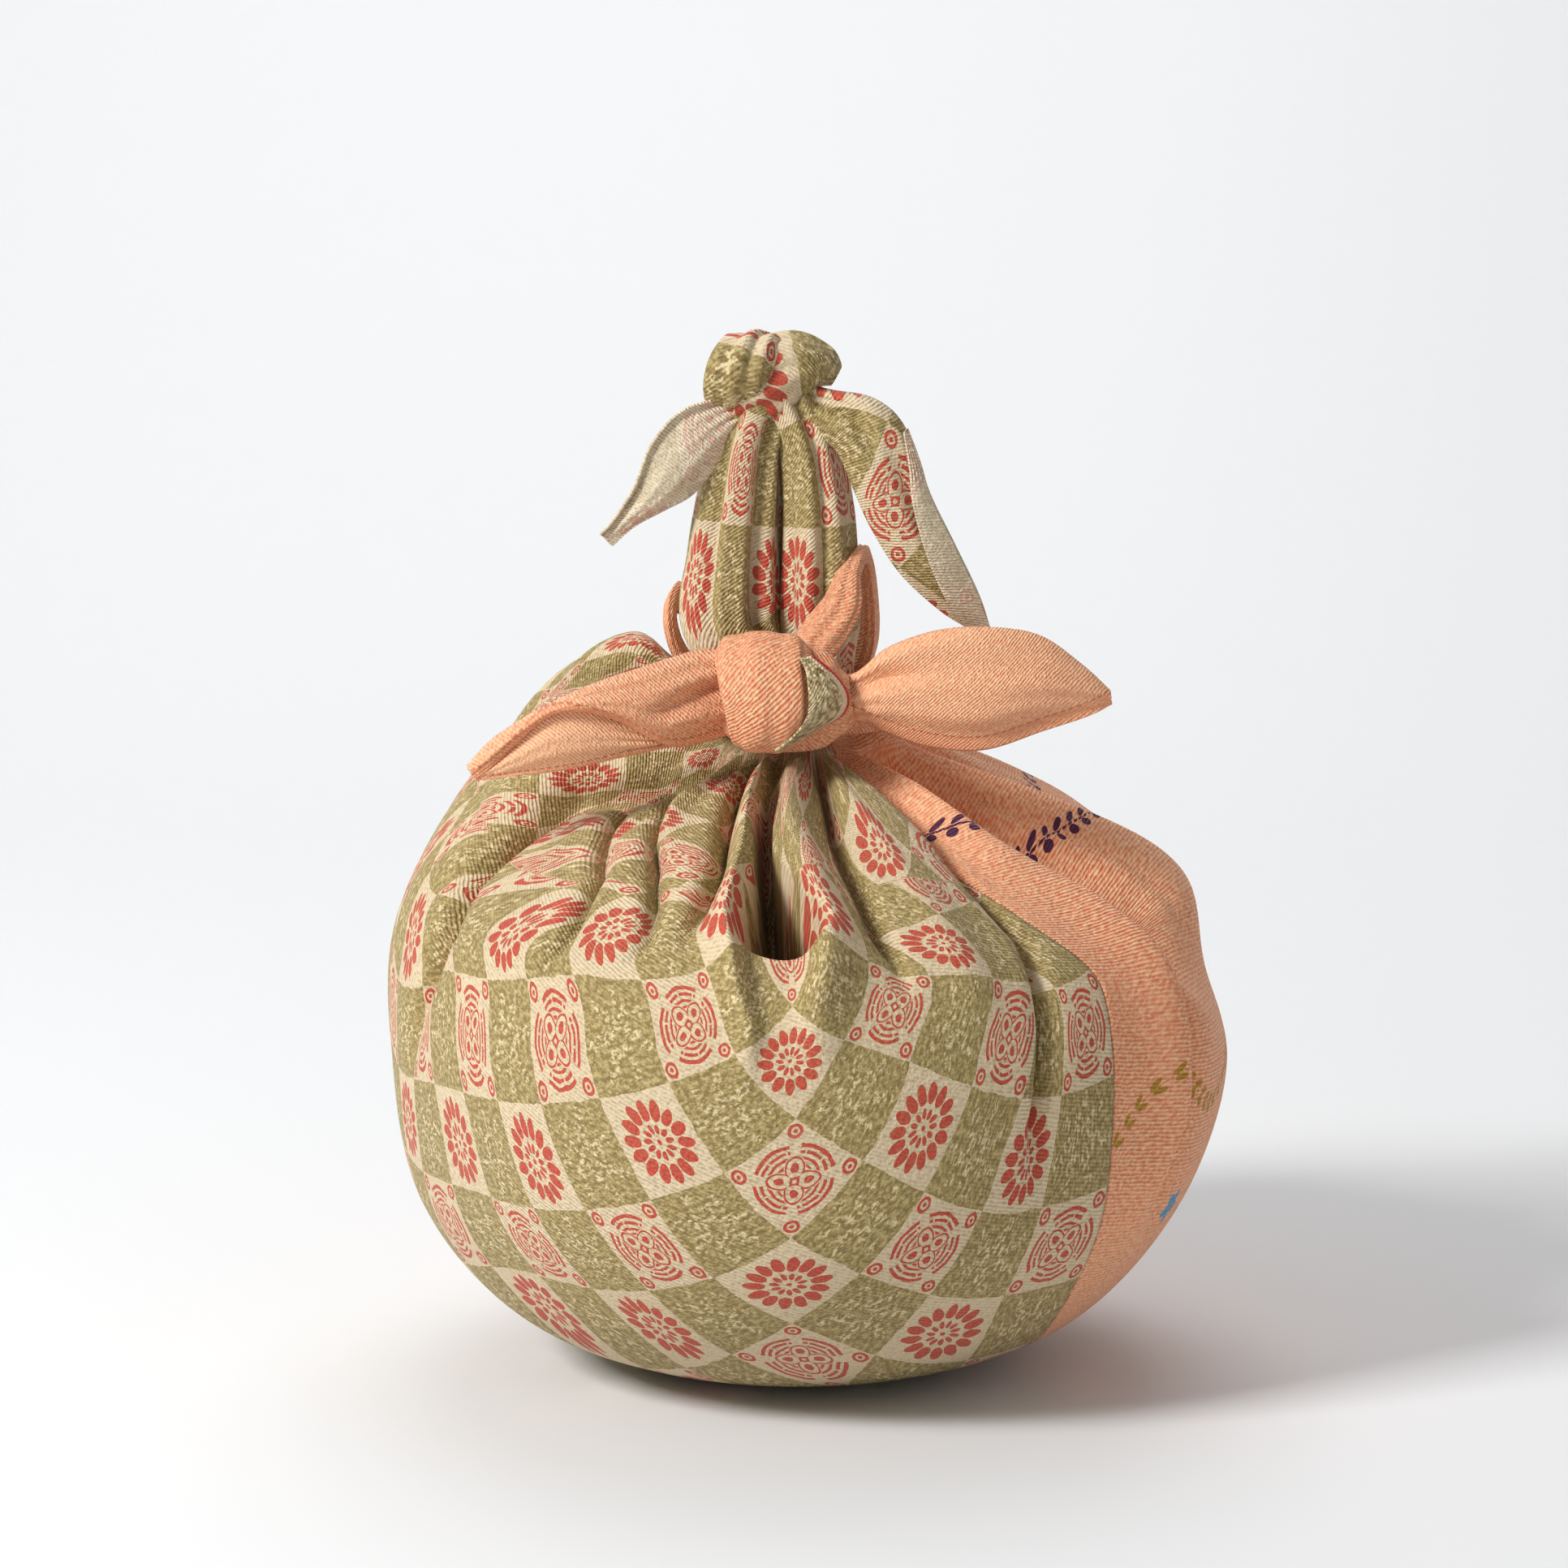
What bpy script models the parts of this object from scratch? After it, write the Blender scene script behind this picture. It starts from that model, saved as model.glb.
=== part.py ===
"""Furoshiki wrap: one square cloth of two joined kimono widths, tied as a round carrying bag.

The check half carries the front and the left of the bag and rises to the handle and its top knot.
The coral half carries the right and the back, and its two corners tie round the neck at the front.
The frame is in metres: origin at the middle of the flat spot it rests on, +Z up, front towards -Y.
Azimuths are degrees round the bag: 0 at the front, 90 at its right, 180 behind, -90 at its left.
"""

import math

import bmesh
import bpy
import numpy as np

# Driving dimensions, in millimetres and degrees
MM = 0.001
CLOTH = 1.8
SEAM_GAP = 0.9
SEAM_FRONT = 45.0
CHECK_COLUMNS = ((-135.0, 0), (-28.0, 19), (14.0, 33), (45.0, 42))
CORAL_COLUMNS = ((45.0, 0), (90.0, 13), (225.0, 37))
LOW_ROWS = 6
HIGH_ROWS = 20
GIRTH_STATION = 4
ROUND_SIDES = 12

# Where the cloth's centre lies under the bag: this far from the middle, towards this azimuth
CENTRE_SHIFT = 48.0
CENTRE_TOWARDS = 135.0
SHIFT_ENDS = 100.0

# The shift is looked for below this station, by halving the way to it
SHIFT_TOP = 3.6
HALVINGS = 26

# How far the front end of the seam runs towards the front as it nears the neck, and between which stations
SEAM_DRIFT = 20.0
SEAM_DRIFT_REACH = 60.0
SEAM_DRIFTS = (5.0, 8.0)

# Up to this station the wall under the bag is level
LEVEL_STATION = 0.6

# The belly: radius and height at each station up the bag, one row for each azimuth
STATIONS = (
    "pole", "foot", "hip", "waist", "girth", "upper",
    "shoulder", "slope", "neck", "throat", "collar",
)
BELLY = {
    -135: (
        (0, 0), (36, 0), (71, 14), (94, 42), (101, 78), (98, 107),
        (87, 131), (62, 151), (33, 157), (25, 154), (14, 159),
    ),
    -105: (
        (0, 0), (36, 0), (71, 14), (94, 42), (101, 79), (99, 107),
        (90, 132), (67, 161), (43, 176), (28, 158), (14, 159),
    ),
    -70: (
        (0, 0), (36, 0), (72, 14), (95, 42), (101, 78), (98, 104),
        (87, 120), (62, 137), (29, 151), (21, 154), (14, 159),
    ),
    -35: (
        (0, 0), (36, 0), (74, 14), (97, 42), (103, 76), (99, 103),
        (86, 120), (60, 137), (27, 150), (20, 154), (14, 159),
    ),
    0: (
        (0, 0), (36, 0), (75, 14), (99, 44), (104, 76), (99, 104),
        (85, 121), (58, 138), (26, 150), (20, 154), (14, 159),
    ),
    35: (
        (0, 0), (36, 0), (74, 14), (98, 43), (103, 76), (99, 103),
        (87, 119), (60, 137), (27, 150), (20, 154), (14, 159),
    ),
    60: (
        (0, 0), (36, 0), (73, 14), (98, 43), (106, 78), (103, 104),
        (90, 119), (62, 134), (29, 149), (24, 155), (21, 162),
    ),
    90: (
        (0, 0), (36, 0), (70, 14), (95, 43), (105.5, 73), (98, 97),
        (93, 119), (69, 135), (32, 150), (24, 156), (21, 163),
    ),
    115: (
        (0, 0), (36, 0), (70, 14), (95, 43), (105, 74), (104, 100),
        (94, 121), (67, 135), (31, 151), (24, 157), (21, 164),
    ),
    150: (
        (0, 0), (36, 0), (71, 14), (95, 43), (102, 76), (99, 104),
        (86, 125), (60, 143), (31, 153), (24, 158), (21, 164),
    ),
    180: (
        (0, 0), (36, 0), (71, 14), (95, 43), (101, 77), (98, 105),
        (86, 128), (61, 146), (31, 154), (24, 158), (20, 163),
    ),
}

# Folds, by name. Columns: height over the bag's face (a valley is negative), half width,
# and the route as azimuth, station
FOLDS = {
    "left bulge valley": (
        -8.0, 6.0,
        ((-60, 8.0), (-72, 7.5), (-77, 7.2), (-76, 6.6), (-74, 6.2), (-68, 5.6), (-67, 5.1), (-68, 4.5)),
    ),
    "left bulge": (1.5, 13.0, ((-80, 8.0), (-90, 7.2), (-90, 6.4), (-86, 5.4), (-87, 4.6))),
    "left pleat": (-5.5, 5.0, ((-50, 8.0), (-64, 7.4), (-56, 7.1), (-43, 6.6), (-40, 6.1), (-39, 5.8))),
    "left inner pleat": (
        -6.0, 5.0,
        ((-40, 8.0), (-50, 7.5), (-44, 7.3), (-33, 6.8), (-28, 6.4), (-25, 6.0)),
    ),
    "left deep pleat": (
        -9.0, 5.0,
        ((-27, 8.0), (-28, 7.7), (-23, 7.4), (-19, 6.9), (-18, 6.6), (-18, 6.3)),
    ),
    "left lip": (
        4.5, 4.2,
        ((-16, 8.0), (-16, 7.4), (-14, 6.9), (-13.5, 6.5), (-13, 6.1), (-11, 5.7), (-9, 5.2), (-7, 4.9)),
    ),
    "right lip": (5.0, 6.0, ((-1, 7.8), (1, 7.1), (4, 6.5), (6, 6.0), (5, 5.5), (3, 5.0))),
    "right deep pleat": (
        -7.0, 4.5,
        ((12, 8.0), (11, 7.6), (9.5, 7.2), (10.5, 6.8), (12, 6.5), (13, 6.1), (15, 5.7)),
    ),
    "front ridge": (3.0, 7.0, ((18, 7.8), (20, 7.1), (22, 6.3), (25, 5.3))),
    "seam pleat": (
        -7.5, 4.5,
        ((26, 8.0), (29, 7.6), (31, 7.2), (31, 6.7), (33, 6.3), (35, 5.9), (34, 5.1), (33, 4.4), (32, 4.0)),
    ),
    "coral front edge": (
        5.0, 7.0,
        ((36, 7.9), (41, 7.2), (44, 6.8), (48, 6.5), (51, 6.2), (53, 5.6), (54, 5.2), (55, 4.2), (54, 3.4)),
    ),
    "coral front valley": (
        -17.0, 10.0,
        ((50, 8.1), (57, 7.2), (60, 6.8), (63, 6.5), (66, 6.2), (67, 5.6), (68, 5.2), (68, 4.9)),
    ),
    "coral low crease": (-6.0, 7.0, ((64, 4.9), (64, 4.4), (63, 3.8), (61, 3.4))),
    "right bulge": (2.5, 12.0, ((88, 8.0), (90, 7.2), (90, 6.4), (88, 5.4), (86, 4.6))),
    "right valley": (-9.0, 8.0, ((96, 8.1), (104, 7.2), (108, 6.4), (108, 5.6), (107, 4.9))),
    "back right bulge": (4.0, 12.0, ((118, 8.0), (124, 7.0), (128, 6.2), (128, 5.2))),
    "back right valley": (-9.0, 7.0, ((138, 8.1), (143, 7.2), (146, 6.5), (145, 5.8), (147, 5.1))),
    "back valley": (
        -11.0, 7.0,
        ((168, 8.1), (170, 7.2), (166, 6.5), (167, 5.9), (165, 5.3), (166, 4.6)),
    ),
    "back bulge": (4.5, 12.0, ((182, 8.0), (182, 7.0), (183, 6.0), (184, 5.0))),
    "back left valley": (-9.0, 7.0, ((196, 8.1), (199, 7.2), (203, 6.5), (204, 5.8), (203, 5.0))),
    "hump valley": (-9.0, 6.0, ((-122, 8.1), (-121, 7.2), (-120, 6.5), (-121, 5.7), (-122, 5.0))),
    "hump pleat": (-6.0, 5.5, ((-92, 8.1), (-101, 7.2), (-104, 6.6), (-104, 5.9))),
}

# A fold has its full half width from this radius out, and no less than this share of it nearer the neck
FULL_WIDTH_RADIUS = 62.0
LEAST_WIDTH = 0.3

# The folds die out between these radii, towards the packed neck and the flat spot's middle
FLAT_RADIUS = 12.0
FOLDED_RADIUS = 30.0
FULL_HEIGHT_RADIUS = 40.0

# The dark pocket between the two lips: depth, half width at its mouth and at its top, and its route down
POCKET_DEPTH = 26.0
POCKET_MOUTH = 10.5
POCKET_TOP = 2.0
POCKET_ROUTE = ((-9.0, 7.9), (-9.5, 7.2), (-9.0, 6.95), (-6.0, 6.5), (-4.3, 6.15), (-3.3, 5.7))
POCKET_FLOOR = 5.60
POCKET_FULL = 6.05
POCKET_SHALLOWS = 6.4
POCKET_CLOSES = 7.7
POCKET_NARROWS = (5.9, 7.1)

# Fine gathers that run out of the tie
GATHER_HEIGHT = 1.3
GATHER_COUNTS = (17, 26)
GATHER_STARTS = 5.6
GATHER_FULL = 7.6

# The handle's strands and the top knot. Columns: x, y, z of the middle, half width, half depth
LEFT_STRAND = (
    (-6, -0.5, 154, 7.6, 10.0), (-6, -0.5, 162, 7.6, 10.0), (-7.5, 0, 172, 7.6, 10.0),
    (-16, -1, 183, 12.5, 11.0),
    (-16.5, -1, 199, 11.0, 9.0), (-15, -1, 213, 9.8, 8.0), (-13, -1, 227, 8.6, 7.5),
    (-8, 0, 241, 7.5, 7.0),
)
RIGHT_STRAND = (
    (5.6, 0.5, 154, 6.8, 8.6), (5.6, 0.5, 162, 6.8, 8.6), (5.5, 0, 172, 7.6, 10.0),
    (4.8, -1, 183, 9.4, 11.0),
    (5.0, -1, 199, 8.6, 9.0), (4.2, -1, 213, 8.0, 8.0), (1.6, -1, 227, 7.4, 7.5), (-5, 0, 241, 7.0, 7.0),
)
KNOT_HEART = (
    (-21, 0, 233, 2.5, 3.5), (-16, 0, 236, 6.5, 6.5), (-9, -1, 241, 9.5, 8.5), (-2, -1, 245, 9.0, 8.5),
    (5, 0, 245, 6.0, 6.5), (9, 0, 243, 2.5, 4.0),
)
KNOT_OVER = (
    (-13, 6, 234, 4.5, 2.5), (-14, -6, 238, 6.5, 3.5), (-11, -9, 245, 7.0, 3.5),
    (-6, -5, 251, 6.5, 3.5), (-2, 5, 251, 4.5, 2.5),
)

# The coral tie: the ring round the neck, its two loose loops and the knot in front, in the same columns
RING = (
    (-6, -28, 164, 4.0, 5.5), (-17, -19, 163, 4.2, 5.0), (-22.5, -3, 163, 4.0, 5.0),
    (-17.5, 15.5, 163, 4.6, 5.4),
    (-2, 23.5, 163, 5.6, 7.0), (15.5, 17.5, 163, 5.6, 7.4), (22, 1, 163, 4.6, 6.0),
    (16, -18, 163, 4.2, 5.0),
    (2, -28, 164, 4.0, 5.5),
)
RIGHT_LOOP = (
    (1, -27, 175, 4.5, 2.4), (8, -20, 182, 5.0, 2.2), (14.2, -13.5, 190, 3.8, 1.9),
    (17.6, -5, 198, 2.3, 1.9),
    (18.8, 4, 201, 1.9, 2.6), (19.6, 11, 191, 2.2, 4.5), (17.5, 15, 177, 2.6, 6.0),
    (13, 18, 166, 3.0, 6.0),
)
LEFT_LOOP = (
    (-10, 20, 167, 2.6, 5.0), (-21, 18, 178, 2.0, 5.0), (-29, 14, 187, 1.7, 4.0),
    (-32, 9, 183, 1.7, 4.0), (-29, 11, 173, 2.0, 4.5),
    (-21, 13, 166, 2.4, 4.5),
)
FRONT_KNOT_HEART = (
    (-22, -31, 168, 5.0, 3.0), (-15, -32, 168, 10.5, 6.0), (-5, -32, 168, 12.5, 7.0),
    (5, -32, 168, 11.5, 6.5),
    (9.5, -32, 168, 8.4, 5.4), (12.6, -32.2, 168.4, 5.4, 3.8),
)
FRONT_KNOT_OVER = (
    (-8, -25, 179, 8.0, 2.5), (-8, -33, 180, 11.0, 3.5), (-7, -40, 175, 12.0, 4.0),
    (-6, -42, 167, 12.0, 4.0),
    (-5, -39, 159, 10.5, 3.5), (-3, -33, 157, 7.0, 2.0),
)

# Loose ends, from the knot to the tip. Columns: upper edge, lower edge, how far the middle stands forward
LEFT_BOW_TAIL = (
    ((-11, -33, 177), (-11, -33, 162), 2.0),
    ((-22, -33.6, 180), (-20, -33.6, 159), 4.0),
    ((-33, -37, 177), (-35, -38, 154), 5.0),
    ((-51, -40, 171), (-53, -42, 150), 4.5),
    ((-63, -40, 164), (-66, -42, 148.5), 3.5),
    ((-76, -38, 155.5), (-76, -39, 148), 1.5),
    ((-80, -37, 152.5), (-79.5, -37, 149.5), 0.5),
)
RIGHT_BOW_TAIL = (
    ((5, -31, 174), (5, -31, 163), 3.0),
    ((13, -32, 174), (14, -32, 163), 4.0),
    ((21, -34, 180.5), (21, -34, 160.5), 5.0),
    ((33, -36, 185), (31, -37, 157.5), 5.5),
    ((45, -38, 186), (44, -39, 157), 5.0),
    ((57, -38, 184), (58, -39, 161.5), 3.5),
    ((67, -37, 177), (69, -38, 165), 1.5),
    ((74, -36, 170.5), (74.5, -36, 167.5), 0.5),
)
LEFT_TOP_TAIL = (
    ((-10, -2, 240), (-9, -2, 232), 1.5),
    ((-20, -4, 238), (-14, -4, 230), 2.0),
    ((-29, -6, 235), (-20, -6, 222), 3.0),
    ((-36, -7, 227), (-26, -8, 215), 3.0),
    ((-40, -7, 217), (-33, -8, 211), 2.0),
    ((-45, -6, 209), (-40, -7, 207), 1.0),
    ((-48.5, -5, 205), (-45.5, -5, 202), 0.5),
)
RIGHT_TOP_TAIL = (
    ((-1, -2, 242), (-2, -2, 232), 1.5),
    ((7, -6, 240), (5, -6, 229), 2.5),
    ((18, -9, 237), (10, -9, 223), 4.0),
    ((25, -11, 229), (13, -11, 213), 4.0),
    ((31, -12, 213), (18, -12, 204), 3.5),
    ((37, -12, 201), (26, -12, 193), 3.0),
    ((42, -11, 191), (33, -11, 186), 1.5),
    ((45.5, -10, 182), (38, -10, 181), 0.5),
)

# Which way a strand's half width is measured
SIDEWAYS = (1.0, 0.0, 0.0)
UPRIGHT = (0.0, 0.0, 1.0)

# Colour and roughness of each half
CHECK_CLOTH = ((0.52, 0.47, 0.27), 0.75)
CORAL_CLOTH = ((0.86, 0.42, 0.27), 0.72)


def ramp(value, start, end):
    """0 before start, 1 after end, and smooth between them."""
    t = np.clip((value - start) / (end - start), 0, 1)
    return t * t * (3 - 2 * t)


def through(p0, p1, p2, p3, t):
    """A point on the smooth curve from p1 to p2, with its neighbours p0 and p3."""
    bend = 2 * p0 - 5 * p1 + 4 * p2 - p3
    return p1 + 0.5 * t * ((p2 - p0) + t * (bend + t * (3 * (p1 - p2) + p3 - p0)))


def along(rows, place):
    """The rows read at places from 0 to 1 along them, on a smooth curve."""
    rows = np.asarray(rows, float)
    last = len(rows) - 1
    at = np.clip(np.asarray(place, float), 0, 1) * last
    k = np.clip(np.floor(at).astype(int), 0, last - 1)
    ends = [rows[np.clip(k + step, 0, last)] for step in (-1, 0, 1, 2)]
    return through(*ends, (at - k)[..., None])


def direction(azimuth):
    """The level unit vector towards an azimuth."""
    turn = np.radians(azimuth)
    return np.stack([np.sin(turn), -np.cos(turn)], -1)


def profile(azimuth, station):
    """The smooth belly's radius and height at an azimuth and a station."""
    known = np.array(sorted(BELLY), float)
    table = np.array([BELLY[int(a)] for a in known], float)
    known = np.concatenate([known - 360, known, known + 360])
    table = np.concatenate([table, table, table])
    azimuth, station = np.broadcast_arrays(np.asarray(azimuth, float), np.asarray(station, float))
    azimuth = (azimuth + 180) % 360 - 180
    i = np.searchsorted(known, azimuth, side="right") - 1
    last = len(STATIONS) - 1
    k = np.clip(np.floor(station).astype(int), 0, last - 1)
    part = (station - k)[..., None]
    row = []
    for near in (-1, 0, 1, 2):
        ends = [table[i + near, np.clip(k + step, 0, last)] for step in (-1, 0, 1, 2)]
        ends[0] = np.where((k == 0)[..., None], ends[2] * (-1, 1), ends[0])
        row.append(through(*ends, part))
    width = (known[i + 1] - known[i])[..., None]
    t = (azimuth - known[i])[..., None] / width
    before = (row[2] - row[0]) / (known[i + 1] - known[i - 1])[..., None] * width
    after = (row[3] - row[1]) / (known[i + 2] - known[i])[..., None] * width
    found = (2 * t**3 - 3 * t**2 + 1) * row[1] + (t**3 - 2 * t**2 + t) * before
    found = found + (3 * t**2 - 2 * t**3) * row[2] + (t**3 - t**2) * after
    found[..., 1] = np.maximum(found[..., 1], 0)
    return found


def belly(azimuth, station):
    """The point of the smooth belly at an azimuth and a station."""
    radius_height = profile(azimuth, station)
    level = direction(azimuth) * radius_height[..., :1]
    return np.concatenate([level, radius_height[..., 1:]], -1)


def outward(azimuth, station):
    """The unit normal of the smooth belly."""
    turn, climb = 0.5, 0.02
    low = np.clip(station - climb, 0, len(STATIONS) - 1)
    high = np.clip(station + climb, 0, len(STATIONS) - 1)
    round_bag = belly(azimuth + turn, station) - belly(azimuth - turn, station)
    up_bag = belly(azimuth, high) - belly(azimuth, low)
    normal = np.cross(round_bag, up_bag)
    size = np.linalg.norm(normal, axis=-1, keepdims=True)
    below = np.array([0.0, 0.0, -1.0])
    return np.where(size > 1e-4, normal / np.maximum(size, 1e-4), below)


def aside(azimuth, station, route):
    """How far round the bag a point lies from a route, in millimetres, and the ramp that ends the route."""
    route = np.array(sorted(route, key=lambda point: point[1]), float)
    centre = np.interp(station, route[:, 1], route[:, 0])
    off = (azimuth - centre + 180) % 360 - 180
    reach = np.radians(off) * np.maximum(profile(azimuth, station)[..., 0], 1)
    start, end = route[0, 1], route[-1, 1]
    live = ramp(station, start - 0.7, start + 0.6) * (1 - ramp(station, end + 0.1, end + 0.9))
    return reach, live


def relief(azimuth, station):
    """How far the cloth stands out of the smooth belly, in millimetres, or in where it is negative."""
    radius = profile(azimuth, station)[..., 0]
    height = np.zeros_like(radius)
    for size, half_width, route in FOLDS.values():
        reach, live = aside(azimuth, station, route)
        narrow = half_width * np.clip(radius / FULL_WIDTH_RADIUS, LEAST_WIDTH, 1)
        height = height + size * live * np.exp(-((reach / narrow) ** 2))
    gather = sum(np.sin(np.radians(count * azimuth + 40 * count)) for count in GATHER_COUNTS)
    height = height + GATHER_HEIGHT * ramp(station, GATHER_STARTS, GATHER_FULL) * gather
    reach, _ = aside(azimuth, station, POCKET_ROUTE)
    half = POCKET_MOUTH + (POCKET_TOP - POCKET_MOUTH) * ramp(station, *POCKET_NARROWS)
    open_here = ramp(station, POCKET_FLOOR, POCKET_FULL) * (1 - ramp(station, POCKET_SHALLOWS, POCKET_CLOSES))
    height = height - POCKET_DEPTH * open_here * np.exp(-((reach / half) ** 4))
    return height * np.clip(radius / FULL_HEIGHT_RADIUS, 0.0, 1) * ramp(radius, FLAT_RADIUS, FOLDED_RADIUS)


def cloth_point(turn, station):
    """The point of the folded bag for a place on the cloth: its direction from the seam and its station."""
    near_seam = np.clip(np.abs((turn - SEAM_FRONT + 180) % 360 - 180) / SEAM_DRIFT_REACH, 0, 1)
    azimuth = turn - SEAM_DRIFT * ramp(station, *SEAM_DRIFTS) * (1 - ramp(near_seam, 0, 1))
    radius = profile(azimuth, station)[..., 0]
    level = direction(azimuth) * radius[..., None]
    shift = CENTRE_SHIFT * (1 - ramp(radius, 0, SHIFT_ENDS)) * (station < 3)
    level = level + direction(CENTRE_TOWARDS) * shift[..., None]
    moved = np.degrees(np.arctan2(level[..., 0], -level[..., 1]))
    azimuth = np.where(shift > 0, moved, azimuth)
    wanted = np.linalg.norm(level, axis=-1)
    low, high = np.zeros_like(wanted), np.full_like(wanted, SHIFT_TOP)
    for _ in range(HALVINGS):
        middle = (low + high) / 2
        inside = profile(azimuth, middle)[..., 0] < wanted
        low, high = np.where(inside, middle, low), np.where(inside, high, middle)
    station = np.where(shift > 0, (low + high) / 2, station)
    return belly(azimuth, station) + outward(azimuth, station) * relief(azimuth, station)[..., None]


def finish(name, mesh_data, colour):
    """A smooth-shaded object of this mesh with its own cloth material."""
    mesh = bpy.data.meshes.new(name)
    mesh_data.to_mesh(mesh)
    mesh_data.free()
    mesh.shade_smooth()
    thing = bpy.data.objects.new(name, mesh)
    rgb, roughness = colour
    material = bpy.data.materials.new(name + "_cloth")
    material.use_nodes = True
    shader = material.node_tree.nodes["Principled BSDF"]
    shader.inputs["Base Color"].default_value = (*rgb, 1)
    shader.inputs["Roughness"].default_value = roughness
    shader.inputs["Metallic"].default_value = 0.0
    mesh.materials.append(material)
    return thing


def moved_grid(columns, rows, place):
    """A grid whose points are moved to place(across, up), both from 0 to 1."""
    bm = bmesh.new()
    bmesh.ops.create_grid(bm, x_segments=columns, y_segments=rows, size=0.5)
    flat = np.array([vert.co[:2] for vert in bm.verts]) + 0.5
    points = place(flat[:, 0], flat[:, 1]) * MM
    for vert, point in zip(bm.verts, points):
        vert.co = point
    bmesh.ops.remove_doubles(bm, verts=bm.verts, dist=1e-5)
    return bm


def wall_point(turn, station, inset):
    """The point inset millimetres inside the folded cloth, square to its face."""
    turn_step, station_step = 2.0, 0.15
    last = len(STATIONS) - 1
    round_bag = cloth_point(turn + turn_step, station) - cloth_point(turn - turn_step, station)
    high = np.minimum(station + station_step, last)
    low = np.maximum(station - station_step, 0.02)
    up_bag = cloth_point(turn, high) - cloth_point(turn, low)
    normal = np.cross(round_bag, up_bag)
    size = np.linalg.norm(normal, axis=-1, keepdims=True)
    normal = np.where(size > 0.05, normal / np.maximum(size, 0.05), (0.0, 0.0, -1.0))
    normal = np.where(station[:, None] < LEVEL_STATION, (0.0, 0.0, -1.0), normal)
    return cloth_point(turn, station) - normal * inset


def panel(name, columns, gap, colour):
    """One half of the cloth as the bag's wall, from the seam round to the seam."""
    aside_by = np.append(direction(CENTRE_TOWARDS) * gap, 0)
    low_rows = np.linspace(0, GIRTH_STATION, LOW_ROWS + 1)[:-1]
    high_rows = np.linspace(GIRTH_STATION, len(STATIONS) - 1, HIGH_ROWS + 1)
    stations = np.concatenate([low_rows, high_rows])
    turns, counts = zip(*columns)

    def face(inset):
        def place(across, up):
            turn = np.interp(across * counts[-1], counts, turns)
            station = np.interp(up * (LOW_ROWS + HIGH_ROWS), np.arange(len(stations)), stations)
            return wall_point(turn, station, inset) + aside_by

        return moved_grid(counts[-1], LOW_ROWS + HIGH_ROWS, place)

    wall, inner = face(0), face(CLOTH)
    bmesh.ops.reverse_faces(inner, faces=inner.faces)
    inner_mesh = bpy.data.meshes.new("inner_face")
    inner.to_mesh(inner_mesh)
    inner.free()
    wall.from_mesh(inner_mesh)
    bpy.data.meshes.remove(inner_mesh)
    bmesh.ops.bridge_loops(wall, edges=[edge for edge in wall.edges if edge.is_boundary])
    bmesh.ops.recalc_face_normals(wall, faces=wall.faces)
    return finish(name, wall, colour)


def strand(name, rows, steps, lobes, wide, colour):
    """Gathered cloth along the rows: an oval with soft folds, its half width along wide, or level if None."""
    ways = along(rows, np.linspace(0, 1, steps + 1))
    run = np.gradient(ways[:, :3], axis=0)
    run /= np.linalg.norm(run, axis=1, keepdims=True)

    def place(across, up):
        step = np.rint(up * steps).astype(int)
        way, ahead = ways[step], run[step]
        if wide is None:
            side = np.cross(ahead, (0.0, 0.0, 1.0))
        else:
            side = wide - ahead * (ahead @ np.array(wide, float))[:, None]
        side /= np.linalg.norm(side, axis=1, keepdims=True)
        deep = np.cross(side, ahead)
        angle = 2 * math.pi * across
        fold = 1 + 0.09 * np.sin(lobes * angle + 5 * up)
        spread = way[:, 3:4] * (fold * np.cos(angle))[:, None] * side
        return way[:, :3] + spread + way[:, 4:5] * (fold * np.sin(angle))[:, None] * deep

    bm = moved_grid(ROUND_SIDES, steps, place)
    bmesh.ops.holes_fill(bm, edges=[edge for edge in bm.edges if edge.is_boundary])
    bmesh.ops.recalc_face_normals(bm, faces=bm.faces)
    return finish(name, bm, colour)


def tail(name, rows, steps, colour):
    """A loose end of the cloth: a bowed ribbon between its upper and its lower edge."""
    upper = [row[0] for row in rows]
    lower = [row[1] for row in rows]
    bows = [(row[2],) for row in rows]

    def place(across, up):
        top, bottom, bow = along(upper, up), along(lower, up), along(bows, up)
        ripple = 0.25 * np.sin(3 * math.pi * across + 4 * up)
        forward = bow[:, 0] * (4 * across * (1 - across) + ripple * up)
        points = top + (bottom - top) * across[:, None]
        points[:, 1] -= forward
        return points

    ribbon = finish(name, moved_grid(5, steps, place), colour)
    thick = ribbon.modifiers.new("cloth", "SOLIDIFY")
    thick.thickness = CLOTH * MM
    thick.offset = 0
    return ribbon


def join(wall, pieces, guides):
    """Adds the pieces to the wall as one body of cloth."""
    for piece in pieces:
        guides.objects.link(piece)
        piece.hide_render = True
        piece.display_type = "WIRE"
        united = wall.modifiers.new(piece.name, "BOOLEAN")
        united.operation = "UNION"
        united.solver = "EXACT"
        united.object = piece


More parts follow.
